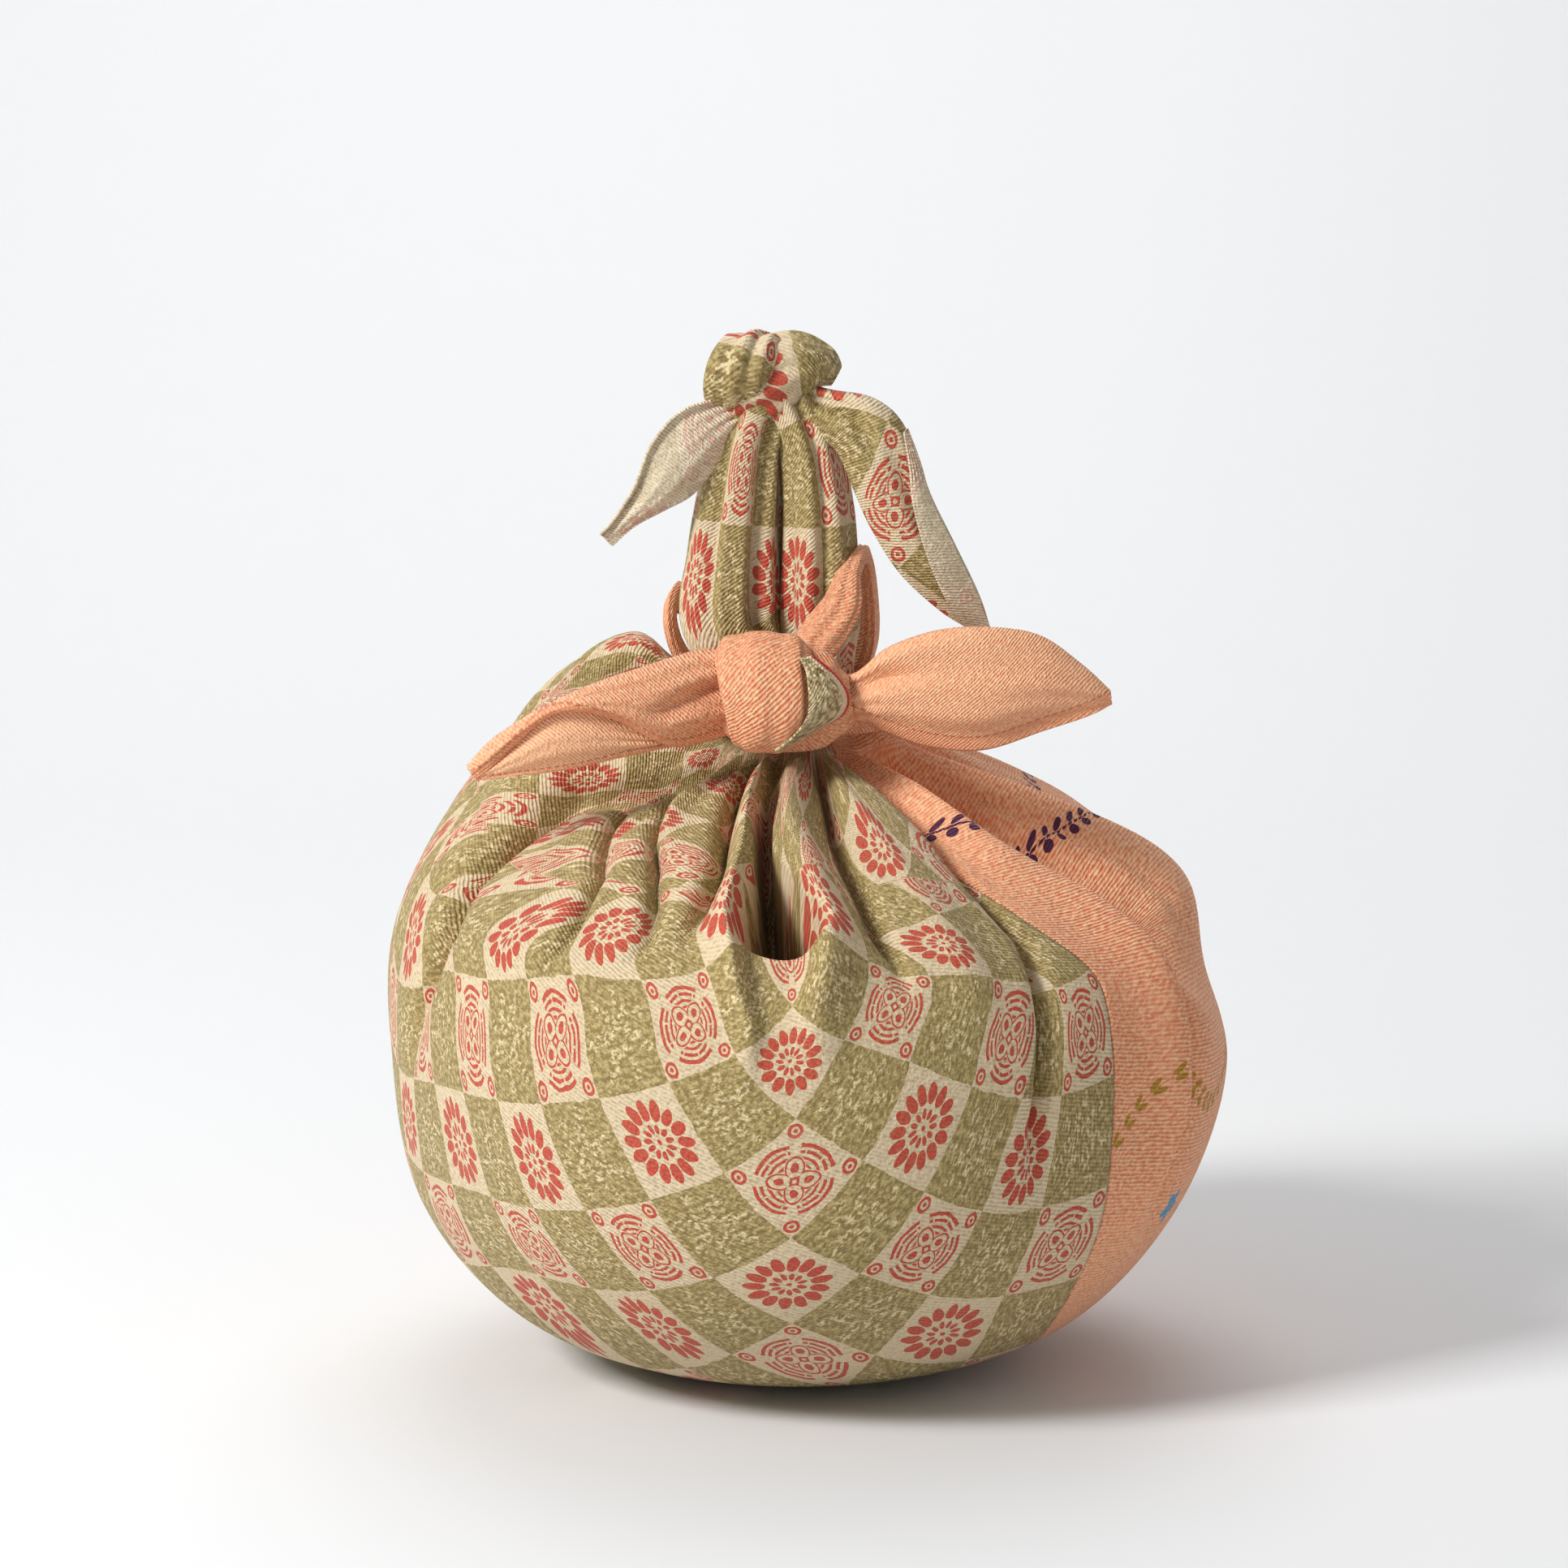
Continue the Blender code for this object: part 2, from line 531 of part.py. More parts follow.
def main():
    for thing in list(bpy.data.objects):
        bpy.data.objects.remove(thing)
    wrap = bpy.data.collections.new("furoshiki_wrap")
    guides = bpy.data.collections.new("joined_pieces")
    guides.hide_render = True
    bpy.context.scene.collection.children.link(wrap)
    bpy.context.scene.collection.children.link(guides)

    check = panel("check_panel", CHECK_COLUMNS, -SEAM_GAP / 2, CHECK_CLOTH)
    wrap.objects.link(check)
    check_pieces = [
        strand("left_strand", LEFT_STRAND, 12, 3, SIDEWAYS, CHECK_CLOTH),
        strand("right_strand", RIGHT_STRAND, 12, 3, SIDEWAYS, CHECK_CLOTH),
        strand("top_knot_heart", KNOT_HEART, 8, 3, UPRIGHT, CHECK_CLOTH),
        strand("top_knot_over", KNOT_OVER, 8, 0, SIDEWAYS, CHECK_CLOTH),
        tail("left_top_tail", LEFT_TOP_TAIL, 9, CHECK_CLOTH),
        tail("right_top_tail", RIGHT_TOP_TAIL, 10, CHECK_CLOTH),
    ]
    join(check, check_pieces, guides)

    coral = panel("coral_panel", CORAL_COLUMNS, SEAM_GAP / 2, CORAL_CLOTH)
    wrap.objects.link(coral)
    coral_pieces = [
        strand("neck_ring", RING, 20, 0, None, CORAL_CLOTH),
        strand("right_loop", RIGHT_LOOP, 10, 0, SIDEWAYS, CORAL_CLOTH),
        strand("left_loop", LEFT_LOOP, 9, 0, SIDEWAYS, CORAL_CLOTH),
        strand("front_knot_heart", FRONT_KNOT_HEART, 8, 3, UPRIGHT, CORAL_CLOTH),
        strand("front_knot_over", FRONT_KNOT_OVER, 9, 0, SIDEWAYS, CORAL_CLOTH),
        tail("left_bow_tail", LEFT_BOW_TAIL, 10, CORAL_CLOTH),
        tail("right_bow_tail", RIGHT_BOW_TAIL, 10, CORAL_CLOTH),
    ]
    join(coral, coral_pieces, guides)


main()
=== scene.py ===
import math

import bmesh
import bpy
import numpy as np
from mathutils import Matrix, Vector


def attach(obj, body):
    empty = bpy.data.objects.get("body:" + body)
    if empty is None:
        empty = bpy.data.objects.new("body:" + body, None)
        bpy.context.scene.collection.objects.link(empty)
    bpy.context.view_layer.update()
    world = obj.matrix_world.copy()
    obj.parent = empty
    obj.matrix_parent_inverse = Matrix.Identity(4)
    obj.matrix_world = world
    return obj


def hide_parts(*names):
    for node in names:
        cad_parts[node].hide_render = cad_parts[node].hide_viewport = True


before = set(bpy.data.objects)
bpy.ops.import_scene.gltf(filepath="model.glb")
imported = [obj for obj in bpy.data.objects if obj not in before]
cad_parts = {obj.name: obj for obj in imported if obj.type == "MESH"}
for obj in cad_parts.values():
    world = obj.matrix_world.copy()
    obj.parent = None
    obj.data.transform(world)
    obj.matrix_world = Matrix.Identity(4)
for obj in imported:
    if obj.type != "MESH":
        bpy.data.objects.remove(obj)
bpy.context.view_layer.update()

# Driving dimensions of the tied cloth, in millimetres and degrees. They are close to those of its solids, but
# the cloth is thinner, its creases lean and its loose ends have more rows.
# Azimuths run round the bag: 0 at the front, 90 at its right, 180 behind, -90 at its left.
MM = 0.001
CLOTH = 0.7
SEAM_TURN = 45.0
SEAM_GAP = 0.5
CENTRE_SHIFT = 48.0
CENTRE_TOWARDS = 135.0
SHIFT_ENDS = 100.0
SEAM_DRIFT = 20.0
SEAM_DRIFT_REACH = 60.0
SEAM_DRIFTS = (5.0, 8.0)
CHECK_CELL = 23.4

# Radius and height of the belly at each station up the bag, one row for each azimuth. The first two
# stations, on the flat underside, are the same all round
STATIONS = (
    "pole", "foot", "hip", "waist", "girth", "upper",
    "shoulder", "slope", "neck", "throat", "collar",
)
UNDERSIDE = ((0, 0), (36, 0))
BELLY = {
    -135: ((71, 14), (94, 42), (101, 78), (98, 107), (87, 131), (62, 151), (33, 157), (25, 154), (14, 159)),
    -105: ((71, 14), (94, 42), (101, 79), (99, 107), (90, 132), (66, 164), (44, 178), (32, 172), (14, 159)),
    -70: ((72, 14), (95, 42), (101, 78), (98, 104), (87, 120), (62, 137), (29, 151), (21, 154), (14, 159)),
    -35: ((74, 14), (97, 42), (103, 76), (99, 103), (86, 120), (60, 137), (27, 150), (20, 154), (14, 159)),
    0: ((75, 14), (99, 44), (104, 76), (99, 104), (85, 121), (58, 138), (26, 150), (20, 154), (14, 159)),
    35: ((74, 14), (98, 43), (103, 76), (99, 103), (87, 119), (60, 137), (27, 150), (20, 154), (14, 159)),
    60: ((73, 14), (98, 43), (106, 78), (103, 104), (90, 119), (62, 134), (29, 149), (24, 155), (21, 162)),
    90: ((70, 14), (95, 43), (105.5, 73), (98, 97), (93, 119), (69, 135), (32, 150), (24, 156), (21, 163)),
    115: ((70, 14), (95, 43), (105, 74), (104, 100), (94, 121), (67, 135), (31, 151), (24, 157), (21, 164)),
    150: ((71, 14), (95, 43), (102, 76), (99, 104), (86, 125), (60, 143), (31, 153), (24, 158), (21, 164)),
    180: ((71, 14), (95, 43), (101, 77), (98, 105), (86, 128), (61, 146), (31, 154), (24, 158), (20, 163)),
}

# Folds: height over the bag's face (a valley is negative), half width, how far its edge leans over
# round the bag, and the route as azimuth, station
FOLDS = {
    "left bulge valley": (-9.0, 5.5, 3.0, (
        (-60, 8.0), (-72, 7.5), (-77, 7.2), (-76, 6.6), (-74, 6.2), (-68, 5.6), (-67, 5.1), (-68, 4.5),
    )),
    "left bulge": (2.0, 13.0, 0, ((-80, 8.0), (-90, 7.2), (-90, 6.4), (-86, 5.4), (-87, 4.6))),
    "left pleat": (-6.5, 3.6, 2.5, ((-50, 8.0), (-64, 7.4), (-56, 7.1), (-43, 6.6), (-40, 6.1), (-39, 5.8))),
    "left inner pleat": (-7.0, 3.6, 2.5, (
        (-40, 8.0), (-50, 7.5), (-44, 7.3), (-33, 6.8), (-28, 6.4), (-25, 6.0),
    )),
    "left deep pleat": (-10.0, 3.6, 2.5, (
        (-27, 8.0), (-28, 7.7), (-23, 7.4), (-19, 6.9), (-18, 6.6), (-18, 6.3),
    )),
    "left lip": (5.0, 3.2, 2.0, (
        (-16, 8.0), (-16, 7.4), (-14, 6.9), (-13.5, 6.5), (-13, 6.1), (-11, 5.7), (-9, 5.2), (-7, 4.9),
    )),
    "right lip": (6.0, 5.6, -2.5, ((-1, 7.8), (1, 7.1), (4, 6.5), (6, 6.0), (5, 5.5), (3, 5.0))),
    "right deep pleat": (-8.0, 3.2, -1.5, (
        (12, 8.0), (11, 7.6), (9.5, 7.2), (10.5, 6.8), (12, 6.5), (13, 6.1), (15, 5.7),
    )),
    "front ridge": (3.0, 7.0, 0, ((18, 7.8), (20, 7.1), (22, 6.3), (25, 5.3))),
    "seam pleat": (-8.0, 3.2, 2.5, (
        (26, 8.0), (29, 7.6), (31, 7.2), (31, 6.7), (33, 6.3), (35, 5.9), (34.5, 5.3), (34, 4.8),
        (33, 4.4), (32, 4.0),
    )),
    "coral front edge": (3.5, 6.0, 4.0, (
        (36, 7.9), (41, 7.2), (44, 6.8), (48, 6.5), (51, 6.2), (53, 5.6), (54, 5.2), (55, 4.2),
        (56, 3.8), (54, 3.4),
    )),
    "coral front valley": (-8.0, 4.5, 0, (
        (45, 8.1), (48, 7.2), (51, 6.8), (54, 6.5), (57, 6.2), (60, 5.6), (61, 5.2), (62, 4.9),
    )),
    "coral hollow": (-17.0, 13.0, 0, ((60, 8.1), (64, 7.2), (67, 6.6), (70, 6.2), (71, 5.6), (71, 5.2))),
    "coral low crease": (-7.0, 5.0, 0, ((62, 5.0), (62, 4.4), (61, 3.8), (59, 3.4))),
    "right bulge": (2.5, 12.0, 0, ((88, 8.0), (90, 7.2), (90, 6.4), (88, 5.4), (86, 4.6))),
    "right valley": (-9.0, 7.0, 2.0, ((96, 8.1), (104, 7.2), (108, 6.4), (108, 5.6), (107, 4.9))),
    "back right bulge": (4.0, 12.0, 0, ((118, 8.0), (124, 7.0), (128, 6.2), (128, 5.2))),
    "back right valley": (-9.0, 6.0, 2.5, ((138, 8.1), (143, 7.2), (146, 6.5), (145, 5.8), (147, 5.1))),
    "back valley": (-11.0, 6.0, -3.0, (
        (168, 8.1), (170, 7.2), (166, 6.5), (167, 5.9), (165, 5.3), (166, 4.6),
    )),
    "back bulge": (4.5, 12.0, 0, ((182, 8.0), (182, 7.0), (183, 6.0), (184, 5.0))),
    "back left valley": (-9.0, 6.0, -2.5, ((196, 8.1), (199, 7.2), (203, 6.5), (204, 5.8), (203, 5.0))),
    "hump valley": (-9.0, 6.0, 2.0, ((-122, 8.1), (-121, 7.2), (-120, 6.5), (-121, 5.7), (-122, 5.0))),
    "hump pleat": (-6.0, 4.6, 2.0, ((-92, 8.1), (-101, 7.2), (-104, 6.6), (-104, 5.9))),
    "coral crease": (-1.5, 2.6, 1.0, ((70, 8.0), (74, 7.3), (76, 6.8), (78, 6.3))),
    "coral side crease": (-2.2, 3.0, 1.0, ((76, 7.9), (80, 7.1), (82, 6.4), (82, 5.7))),
    "side crease": (-2.0, 3.0, -1.0, ((90, 7.8), (96, 6.9), (97, 6.1), (95, 5.5))),
    "back crease": (-2.4, 3.0, 1.0, ((152, 8.0), (156, 7.0), (156, 6.2))),
    "rear left crease": (-2.4, 3.0, -1.0, ((212, 8.0), (214, 7.0), (213, 6.0))),
    "left crease": (-2.0, 2.4, 1.0, ((-58, 8.0), (-74, 7.2), (-77, 6.6), (-78, 6.0))),
}

# How sharply a valley and a crest bend: 2 is soft
SHARP_CREASE = 1.5
SOFT_CREST = 2.0
FULL_WIDTH_RADIUS = 62
LIP_OFF = 0.9
LIP_HEIGHT = 0.22

# The dark pocket between the two lips: depth, half width at its mouth and at its top, and its route down
POCKET_DEPTH = 34.0
POCKET_MOUTH = 10.5
POCKET_TOP = 2.2
POCKET_ROUTE = ((-9.0, 7.9), (-9.5, 7.2), (-8.5, 6.95), (-5.0, 6.5), (-2.9, 6.15), (-1.9, 5.8))
POCKET_FLOOR = 5.72
POCKET_NARROWS = (5.95, 6.9)
POCKET_CLOSES = (6.9, 7.7)

# Fine gathers that run out of the tie: how many round the bag, their height and their phase
GATHERS = ((17, 0.9, 40), (26, 0.7, 115), (41, 0.45, 200), (63, 0.25, 310))
GATHER_STARTS = 5.6
GATHER_FULL = 7.6

# The handle's strands, the knots and the ring: centre, half width and half depth along each
LEFT_STRAND = (
    (-6, -0.5, 154, 7.6, 10.0), (-6, -0.5, 162, 7.6, 10.0), (-7.5, 0, 172, 7.6, 10.0),
    (-16, -1, 183, 12.5, 11.0), (-16.1, -1, 199, 11.3, 9.0), (-14.8, -1, 213, 10.1, 8.0),
    (-13, -1, 227, 8.6, 7.5), (-8, 0, 241, 7.5, 7.0),
)
RIGHT_STRAND = (
    (5.6, 0.5, 154, 6.8, 8.6), (5.6, 0.5, 162, 6.8, 8.6), (5.5, 0, 172, 7.6, 10.0), (4.8, -1, 183, 9.4, 11.0),
    (4.6, -1, 199, 9.0, 9.0), (3.9, -1, 213, 8.3, 8.0), (1.6, -1, 227, 7.4, 7.5),
    (-5, 0, 241, 7.0, 7.0),
)
KNOT_HEART = (
    (-21, 0, 233, 2.5, 3.5), (-16, 0, 236, 6.5, 6.5), (-9, -1, 241, 9.5, 8.5), (-2, -1, 245, 9.0, 8.5),
    (5, 0, 245, 6.0, 6.5), (9, 0, 243, 2.5, 4.0),
)
KNOT_OVER = (
    (-15, 6, 235, 5.0, 2.5), (-16, -5, 239, 7.0, 3.5), (-15, -9, 245, 7.6, 3.6), (-11.5, -5, 250.6, 7.0, 3.5),
    (-6, 5, 250, 4.5, 2.5),
)
RING = (
    (-6, -28, 164, 4.0, 5.5), (-17, -19, 163, 4.2, 5.0), (-22.5, -3, 163, 4.0, 5.0),
    (-17.5, 15.5, 163, 4.6, 5.4), (-2, 23.5, 163, 5.6, 7.0), (15.5, 17.5, 163, 5.6, 7.4),
    (22, 1, 163, 4.6, 6.0), (16, -18, 163, 4.2, 5.0), (2, -28, 164, 4.0, 5.5),
)
RIGHT_LOOP = (
    (0, -27, 175, 4.5, 2.4), (5, -21, 181.5, 5.4, 2.2), (10, -16.5, 188.5, 4.8, 1.9),
    (11.9, -10.5, 195.5, 3.0, 1.9), (15.6, 1, 199.2, 1.8, 2.6), (17, 10.5, 190, 2.2, 4.5),
    (17, 15, 177, 2.6, 6.0), (13, 18, 166, 3.0, 6.0),
)
LEFT_LOOP = (
    (-10, 20, 167, 2.6, 5.0), (-21, 18, 178, 2.0, 5.0), (-29, 14, 187, 1.7, 4.0), (-32, 9, 183, 1.7, 4.0),
    (-29, 11, 173, 2.0, 4.5), (-21, 13, 166, 2.4, 4.5),
)
FRONT_KNOT_HEART = (
    (-22, -31, 168, 5.0, 3.0), (-15, -32, 168, 10.5, 6.0), (-5, -32, 168, 12.5, 7.0),
    (5, -32, 168, 11.5, 6.5), (9.5, -32, 168, 8.4, 5.4), (12.6, -32.2, 168.4, 5.4, 3.8),
)
FRONT_KNOT_OVER = (
    (-9, -25, 180, 8.0, 2.5), (-9, -33, 181, 11.0, 3.5), (-8.5, -40, 175.5, 11.0, 4.0),
    (-7.5, -42, 167, 10.5, 4.0), (-8.5, -39, 160, 8.5, 3.5), (-10.5, -33, 157.5, 5.0, 2.0),
)

# Loose ends: upper edge, lower edge and how far the middle stands forward, from the knot to the tip
LEFT_BOW_TAIL = (
    ((-11, -33, 178), (-11, -33, 162), 2.0),
    ((-22, -33.6, 180), (-20, -33.6, 159), 4.0),
    ((-30, -36, 178.5), (-29, -37, 157.5), 5.0),
    ((-37, -38, 176.5), (-35, -39, 159.5), 5.0),
    ((-45, -39, 174), (-43, -40, 164), 4.5),
    ((-53, -40, 171), (-51.5, -41, 166.5), 3.5),
    ((-60, -40, 167.5), (-59.5, -41, 165.5), 2.0),
    ((-67, -39.5, 163.5), (-66.5, -40.5, 159.5), 1.5),
    ((-74, -38.5, 158.5), (-73.5, -39.5, 153), 1.5),
    ((-79.5, -37.5, 152.5), (-77.5, -38, 149.8), 0.5),
)
LEFT_BOW_FLAP = (
    ((-29, -33.5, 161), (-30, -34, 157.6), 1.0),
    ((-36.5, -36, 163), (-36.5, -37, 156.4), 1.5),
    ((-44, -38, 166), (-44, -39, 155), 2.0),
    ((-52, -39, 168), (-52, -40, 153.2), 2.5),
    ((-59.5, -39.2, 167), (-59.5, -40, 151.8), 2.5),
    ((-66.5, -38.5, 161), (-67, -39.5, 150.8), 2.0),
    ((-73.5, -37.6, 154.5), (-73.5, -38.5, 149.9), 1.0),
    ((-78, -37, 150.5), (-78, -37.4, 149.2), 0.3),
)
RIGHT_BOW_TAIL = (
    ((5, -31, 174), (5, -31, 163), 3.0),
    ((13, -32, 174), (14, -32, 163), 4.0),
    ((21, -34, 180.5), (21, -34, 160.5), 5.0),
    ((33, -36, 185), (31, -37, 157.5), 5.5),
    ((45, -38, 186), (44, -39, 157), 5.0),
    ((57, -38, 184), (58, -39, 161.5), 3.5),
    ((67, -37, 177), (69, -38, 165), 1.5),
    ((74, -36, 170.5), (74.5, -36, 167.5), 0.5),
)
LEFT_TOP_TAIL = (
    ((-10, -2, 240), (-9, -2, 232), 1.5),
    ((-20, -4, 238), (-14, -4, 230), 2.0),
    ((-29, -6, 235), (-20, -6, 222), 3.0),
    ((-36, -7, 227), (-26, -8, 215), 3.0),
    ((-40, -7, 217), (-33, -8, 211), 2.0),
    ((-45, -6, 209), (-40, -7, 207), 1.0),
    ((-48.5, -5, 205), (-45.5, -5, 202), 0.5),
)
RIGHT_TOP_TAIL = (
    ((-1, -2, 242), (-2, -2, 232), 1.5),
    ((7, -6, 240), (5, -6, 229), 2.5),
    ((18, -9, 238), (9.5, -9, 225), 4.0),
    ((25.5, -11, 231), (13, -11, 217), 4.0),
    ((31, -12, 215), (17.5, -12, 207), 3.5),
    ((37, -12, 203), (24.5, -12, 196), 3.0),
    ((43, -11, 191), (34, -11, 187), 1.5),
    ((46, -10, 182.5), (41, -10, 182.5), 0.5),
)
RIGHT_TOP_FOLD = (
    ((25.9, -12.9, 231.4), (25.2, -13.3, 230.6), 0.2),
    ((28.9, -13.6, 223.4), (26.6, -15.2, 221.9), 0.4),
    ((31.5, -14.0, 215.4), (27.4, -16.2, 212.9), 0.6),
    ((37.5, -14.0, 203.4), (31.0, -16.2, 199.8), 0.6),
    ((43.4, -12.8, 191.2), (36.4, -14.2, 188.2), 0.5),
    ((46.4, -11.2, 182.4), (41.2, -11.6, 182.2), 0.2),
)
KNOT_TAB = (
    ((0, -42, 179.5), (3.0, -39, 179.5), 0.5),
    ((1.5, -43.5, 176.5), (8.2, -38.5, 175), 1.0),
    ((2.0, -45, 170.5), (11.4, -38, 170), 1.5),
    ((1.5, -45, 165.5), (10.2, -38, 165.5), 1.5),
    ((-2, -44, 160.5), (4.0, -38.5, 161.8), 1.0),
    ((-6, -42, 157.2), (-2.5, -39, 158), 0.5),
)
SIDEWAYS = (1.0, 0.0, 0.0)
UPRIGHT = (0.0, 0.0, 1.0)

# How the print lies on the folded cloth. Columns: the cell along the seam and out from it, counted from
# the cloth's middle, and the turn and station at which the photo shows its middle
PRINT_LAY = (
    (4, 0, 37.5, 3.07), (5, 1, 31.1, 3.69), (3, 1, 21.7, 2.42), (4, 2, 17.0, 3.16), (6, 2, 30.0, 4.74),
    (5, 3, 16.0, 4.06), (3, 3, -1.3, 2.89), (6, 4, 13.0, 5.17), (4, 4, -0.8, 3.67), (2, 2, -1.0, 2.31),
    (5, 5, -1.2, 4.61), (7, 3, 24.9, 5.82), (6, 0, 39.4, 4.70), (3, 5, -17.7, 3.98), (2, 4, -21.2, 3.16),
    (1, 5, -37.5, 3.68), (-1, 5, -51.7, 3.68), (4, 6, -14.6, 4.97), (2, 6, -34.2, 4.70), (0, 6, -50.0, 4.56),
    (-2, 6, -64.8, 4.51), (0, 4, -39.4, 3.03), (-2, 4, -63.1, 3.03), (1, 3, -22.2, 2.52),
    (-1, 3, -42.6, 2.67), (-3, 7, -74.1, 5.03), (3, 7, -31.0, 6.04), (1, 7, -48.3, 5.73),
    (-1, 7, -68.3, 5.75), (5, 7, -13.3, 6.24),
    (4, 3, 7.9, 3.42), (5, 4, 7.4, 4.42), (6, 3, 21.7, 4.95), (5, 2, 22.9, 3.87), (5, 0, 38.4, 3.86),
    (3, 2, 8.6, 2.64), (3, 0, 39.6, 2.43), (2, 3, -13.3, 2.63), (7, 5, 6.1, 6.36), (8, 4, 14.5, 6.46),
    (9, 5, 9.4, 7.5), (7, 1, 37.7, 5.83), (8, 0, 45.0, 6.93), (4, 8, -27.9, 6.92), (2, 8, -43.8, 6.86),
    (-2, 8, -77.8, 6.13), (5, 9, -16.2, 7.38), (6, 6, -0.8, 5.57),
)
SEAM_LAY = ((4, 2.70), (5, 3.43), (6, 4.26), (7, 5.29), (8, 6.50), (9, 7.28))
UNPRINTED_TURNS = (-135, -120, -105)
LOW_TURNS = (-60, -30, 0, 30, 45)
LOW_STATION = 1.2
LAY_SLACK = 300.0
GIRTH_PER_DEGREE = 1.75

# Vines drawn round the coral half, and the blossom: a design of their own. A vine is a half width in
# millimetres and a route as turn, station; the blossom is a turn, a station and a radius in millimetres
DRAWN = {
    "plum": (
        (2.0, (
            (50, 7.2), (64, 6.95), (78, 7.15), (94, 6.9), (112, 7.1), (130, 6.85), (148, 7.05), (166, 6.8),
        )),
    ),
    "mustard": (
        (2.2, ((45, 3.7), (57, 4.25), (70, 3.8), (86, 4.3), (104, 3.8), (124, 4.3), (144, 3.8), (166, 4.2))),
    ),
}
BLOSSOM = (64, 3.1, 4.0)
LEAVES_PER_METRE = 240.0
DRAWN_STEPS = 160
FAR_OFF = 50.0

# Where the walls' grids are closer: middle, half width and how much closer, for turns and for stations
CROWDED_TURNS = ((-18, 52, 0.8), (-3, 15, 1.6), (32, 9, 0.8), (60, 14, 1.5))
CROWDED_STATIONS = ((6.7, 1.3, 3.0), (4.0, 2.0, 1.0))

# Colours, as the light leaves them in linear values
CREAM = (0.80, 0.66, 0.45, 1)
WORN_CREAM = (0.66, 0.49, 0.28, 1)
OLIVE = (0.455, 0.35, 0.12, 1)
PALE_OLIVE = (0.86, 0.71, 0.41, 1)
DARK_OLIVE = (0.25, 0.175, 0.06, 1)
RED = (0.56, 0.030, 0.020, 1)
FADED = (0.90, 0.78, 0.60, 1)
# Painted shade for the hollows of the crepe's weave
PAINTED_WEAVE_SHADE = (0.30, 0.18, 0.07, 1)
CORAL = (0.79, 0.245, 0.11, 1)
PALE_CORAL = (1.0, 0.59, 0.34, 1)
PLUM = (0.075, 0.012, 0.05, 1)
MUSTARD = (0.45, 0.24, 0.015, 1)
BLOSSOM_BLUE = (0.09, 0.32, 0.55, 1)

# The crepe's crinkles, twill and puckers and the print's streaks, for each metre, and its relief in metres
GRAIN = (1500, 850)
TWILL = (1000, 1000)
PUCKERS = (420, 300)
STREAKS = (560, 900)
CREPE_RELIEF = 0.0007

# The motifs' parts: how many petals, then their middle radius, half length, width and turn, in cells, and
# for the drawn blossom in its own radius. A ring is a radius and half its line's width
OUTER_PETALS = (14, 0.325, 0.105, 0.062)
INNER_PETALS = (11, 0.135, 0.052, 0.028, 0.5)
FLOWER_EYE = 0.028
OUTER_RING = (0.395, 0.021)
DASHED_RING = (0.325, 0.018)
INNER_RINGS = ((0.255, 0.016), (0.19, 0.014))
CORNER = 0.395
CORNER_RING = (0.066, 0.018)
CORNER_DOT = 0.024
PALE_PETALS = (6, 0.2, 0.13, 0.075)
PALE_SPRIG = (7, 0.39, 0.08, 0.06, 0.5)
DRAWN_PETALS = (5, 0.58, 0.40, 0.33)
DRAWN_EYE = 0.17

# The hem's stitches and the check cloth's border with its red line, in metres
HEM_STITCH = 0.00022
STITCHES_PER_METRE = 520.0
BORDER = 0.0022
RED_LINE = 0.0007

# The camera, set as the photo was taken
PHOTO_PIXELS = 1932
PIXELS_PER_MM = 5
CAMERA_DISTANCE = 1.3
CAMERA_ELEVATION = 9.0
CAMERA_AIM = (-0.0038, 0, 0.1425)
SENSOR = 36


def ramp(value, start, end):
    """0 before start, 1 after end, and smooth between them."""
    t = np.clip((value - start) / (end - start), 0, 1)
    return t * t * (3 - 2 * t)


def through(p0, p1, p2, p3, t):
    """A point on the smooth curve from p1 to p2, with its neighbours p0 and p3."""
    bend = 2 * p0 - 5 * p1 + 4 * p2 - p3
    return p1 + 0.5 * t * ((p2 - p0) + t * (bend + t * (3 * (p1 - p2) + p3 - p0)))


def along(rows, place):
    """The rows read at places from 0 to 1 along them, on a smooth curve."""
    rows = np.asarray(rows, float)
    last = len(rows) - 1
    at = np.clip(np.asarray(place, float), 0, 1) * last
    k = np.clip(np.floor(at).astype(int), 0, last - 1)
    ends = [rows[np.clip(k + step, 0, last)] for step in (-1, 0, 1, 2)]
    return through(*ends, (at - k)[..., None])


def direction(azimuth):
    """The level unit vector towards an azimuth."""
    turn = np.radians(azimuth)
    return np.stack([np.sin(turn), -np.cos(turn)], -1)


def unit(vectors):
    """The vectors at length 1."""
    return vectors / np.maximum(np.linalg.norm(vectors, axis=-1, keepdims=True), 1e-9)


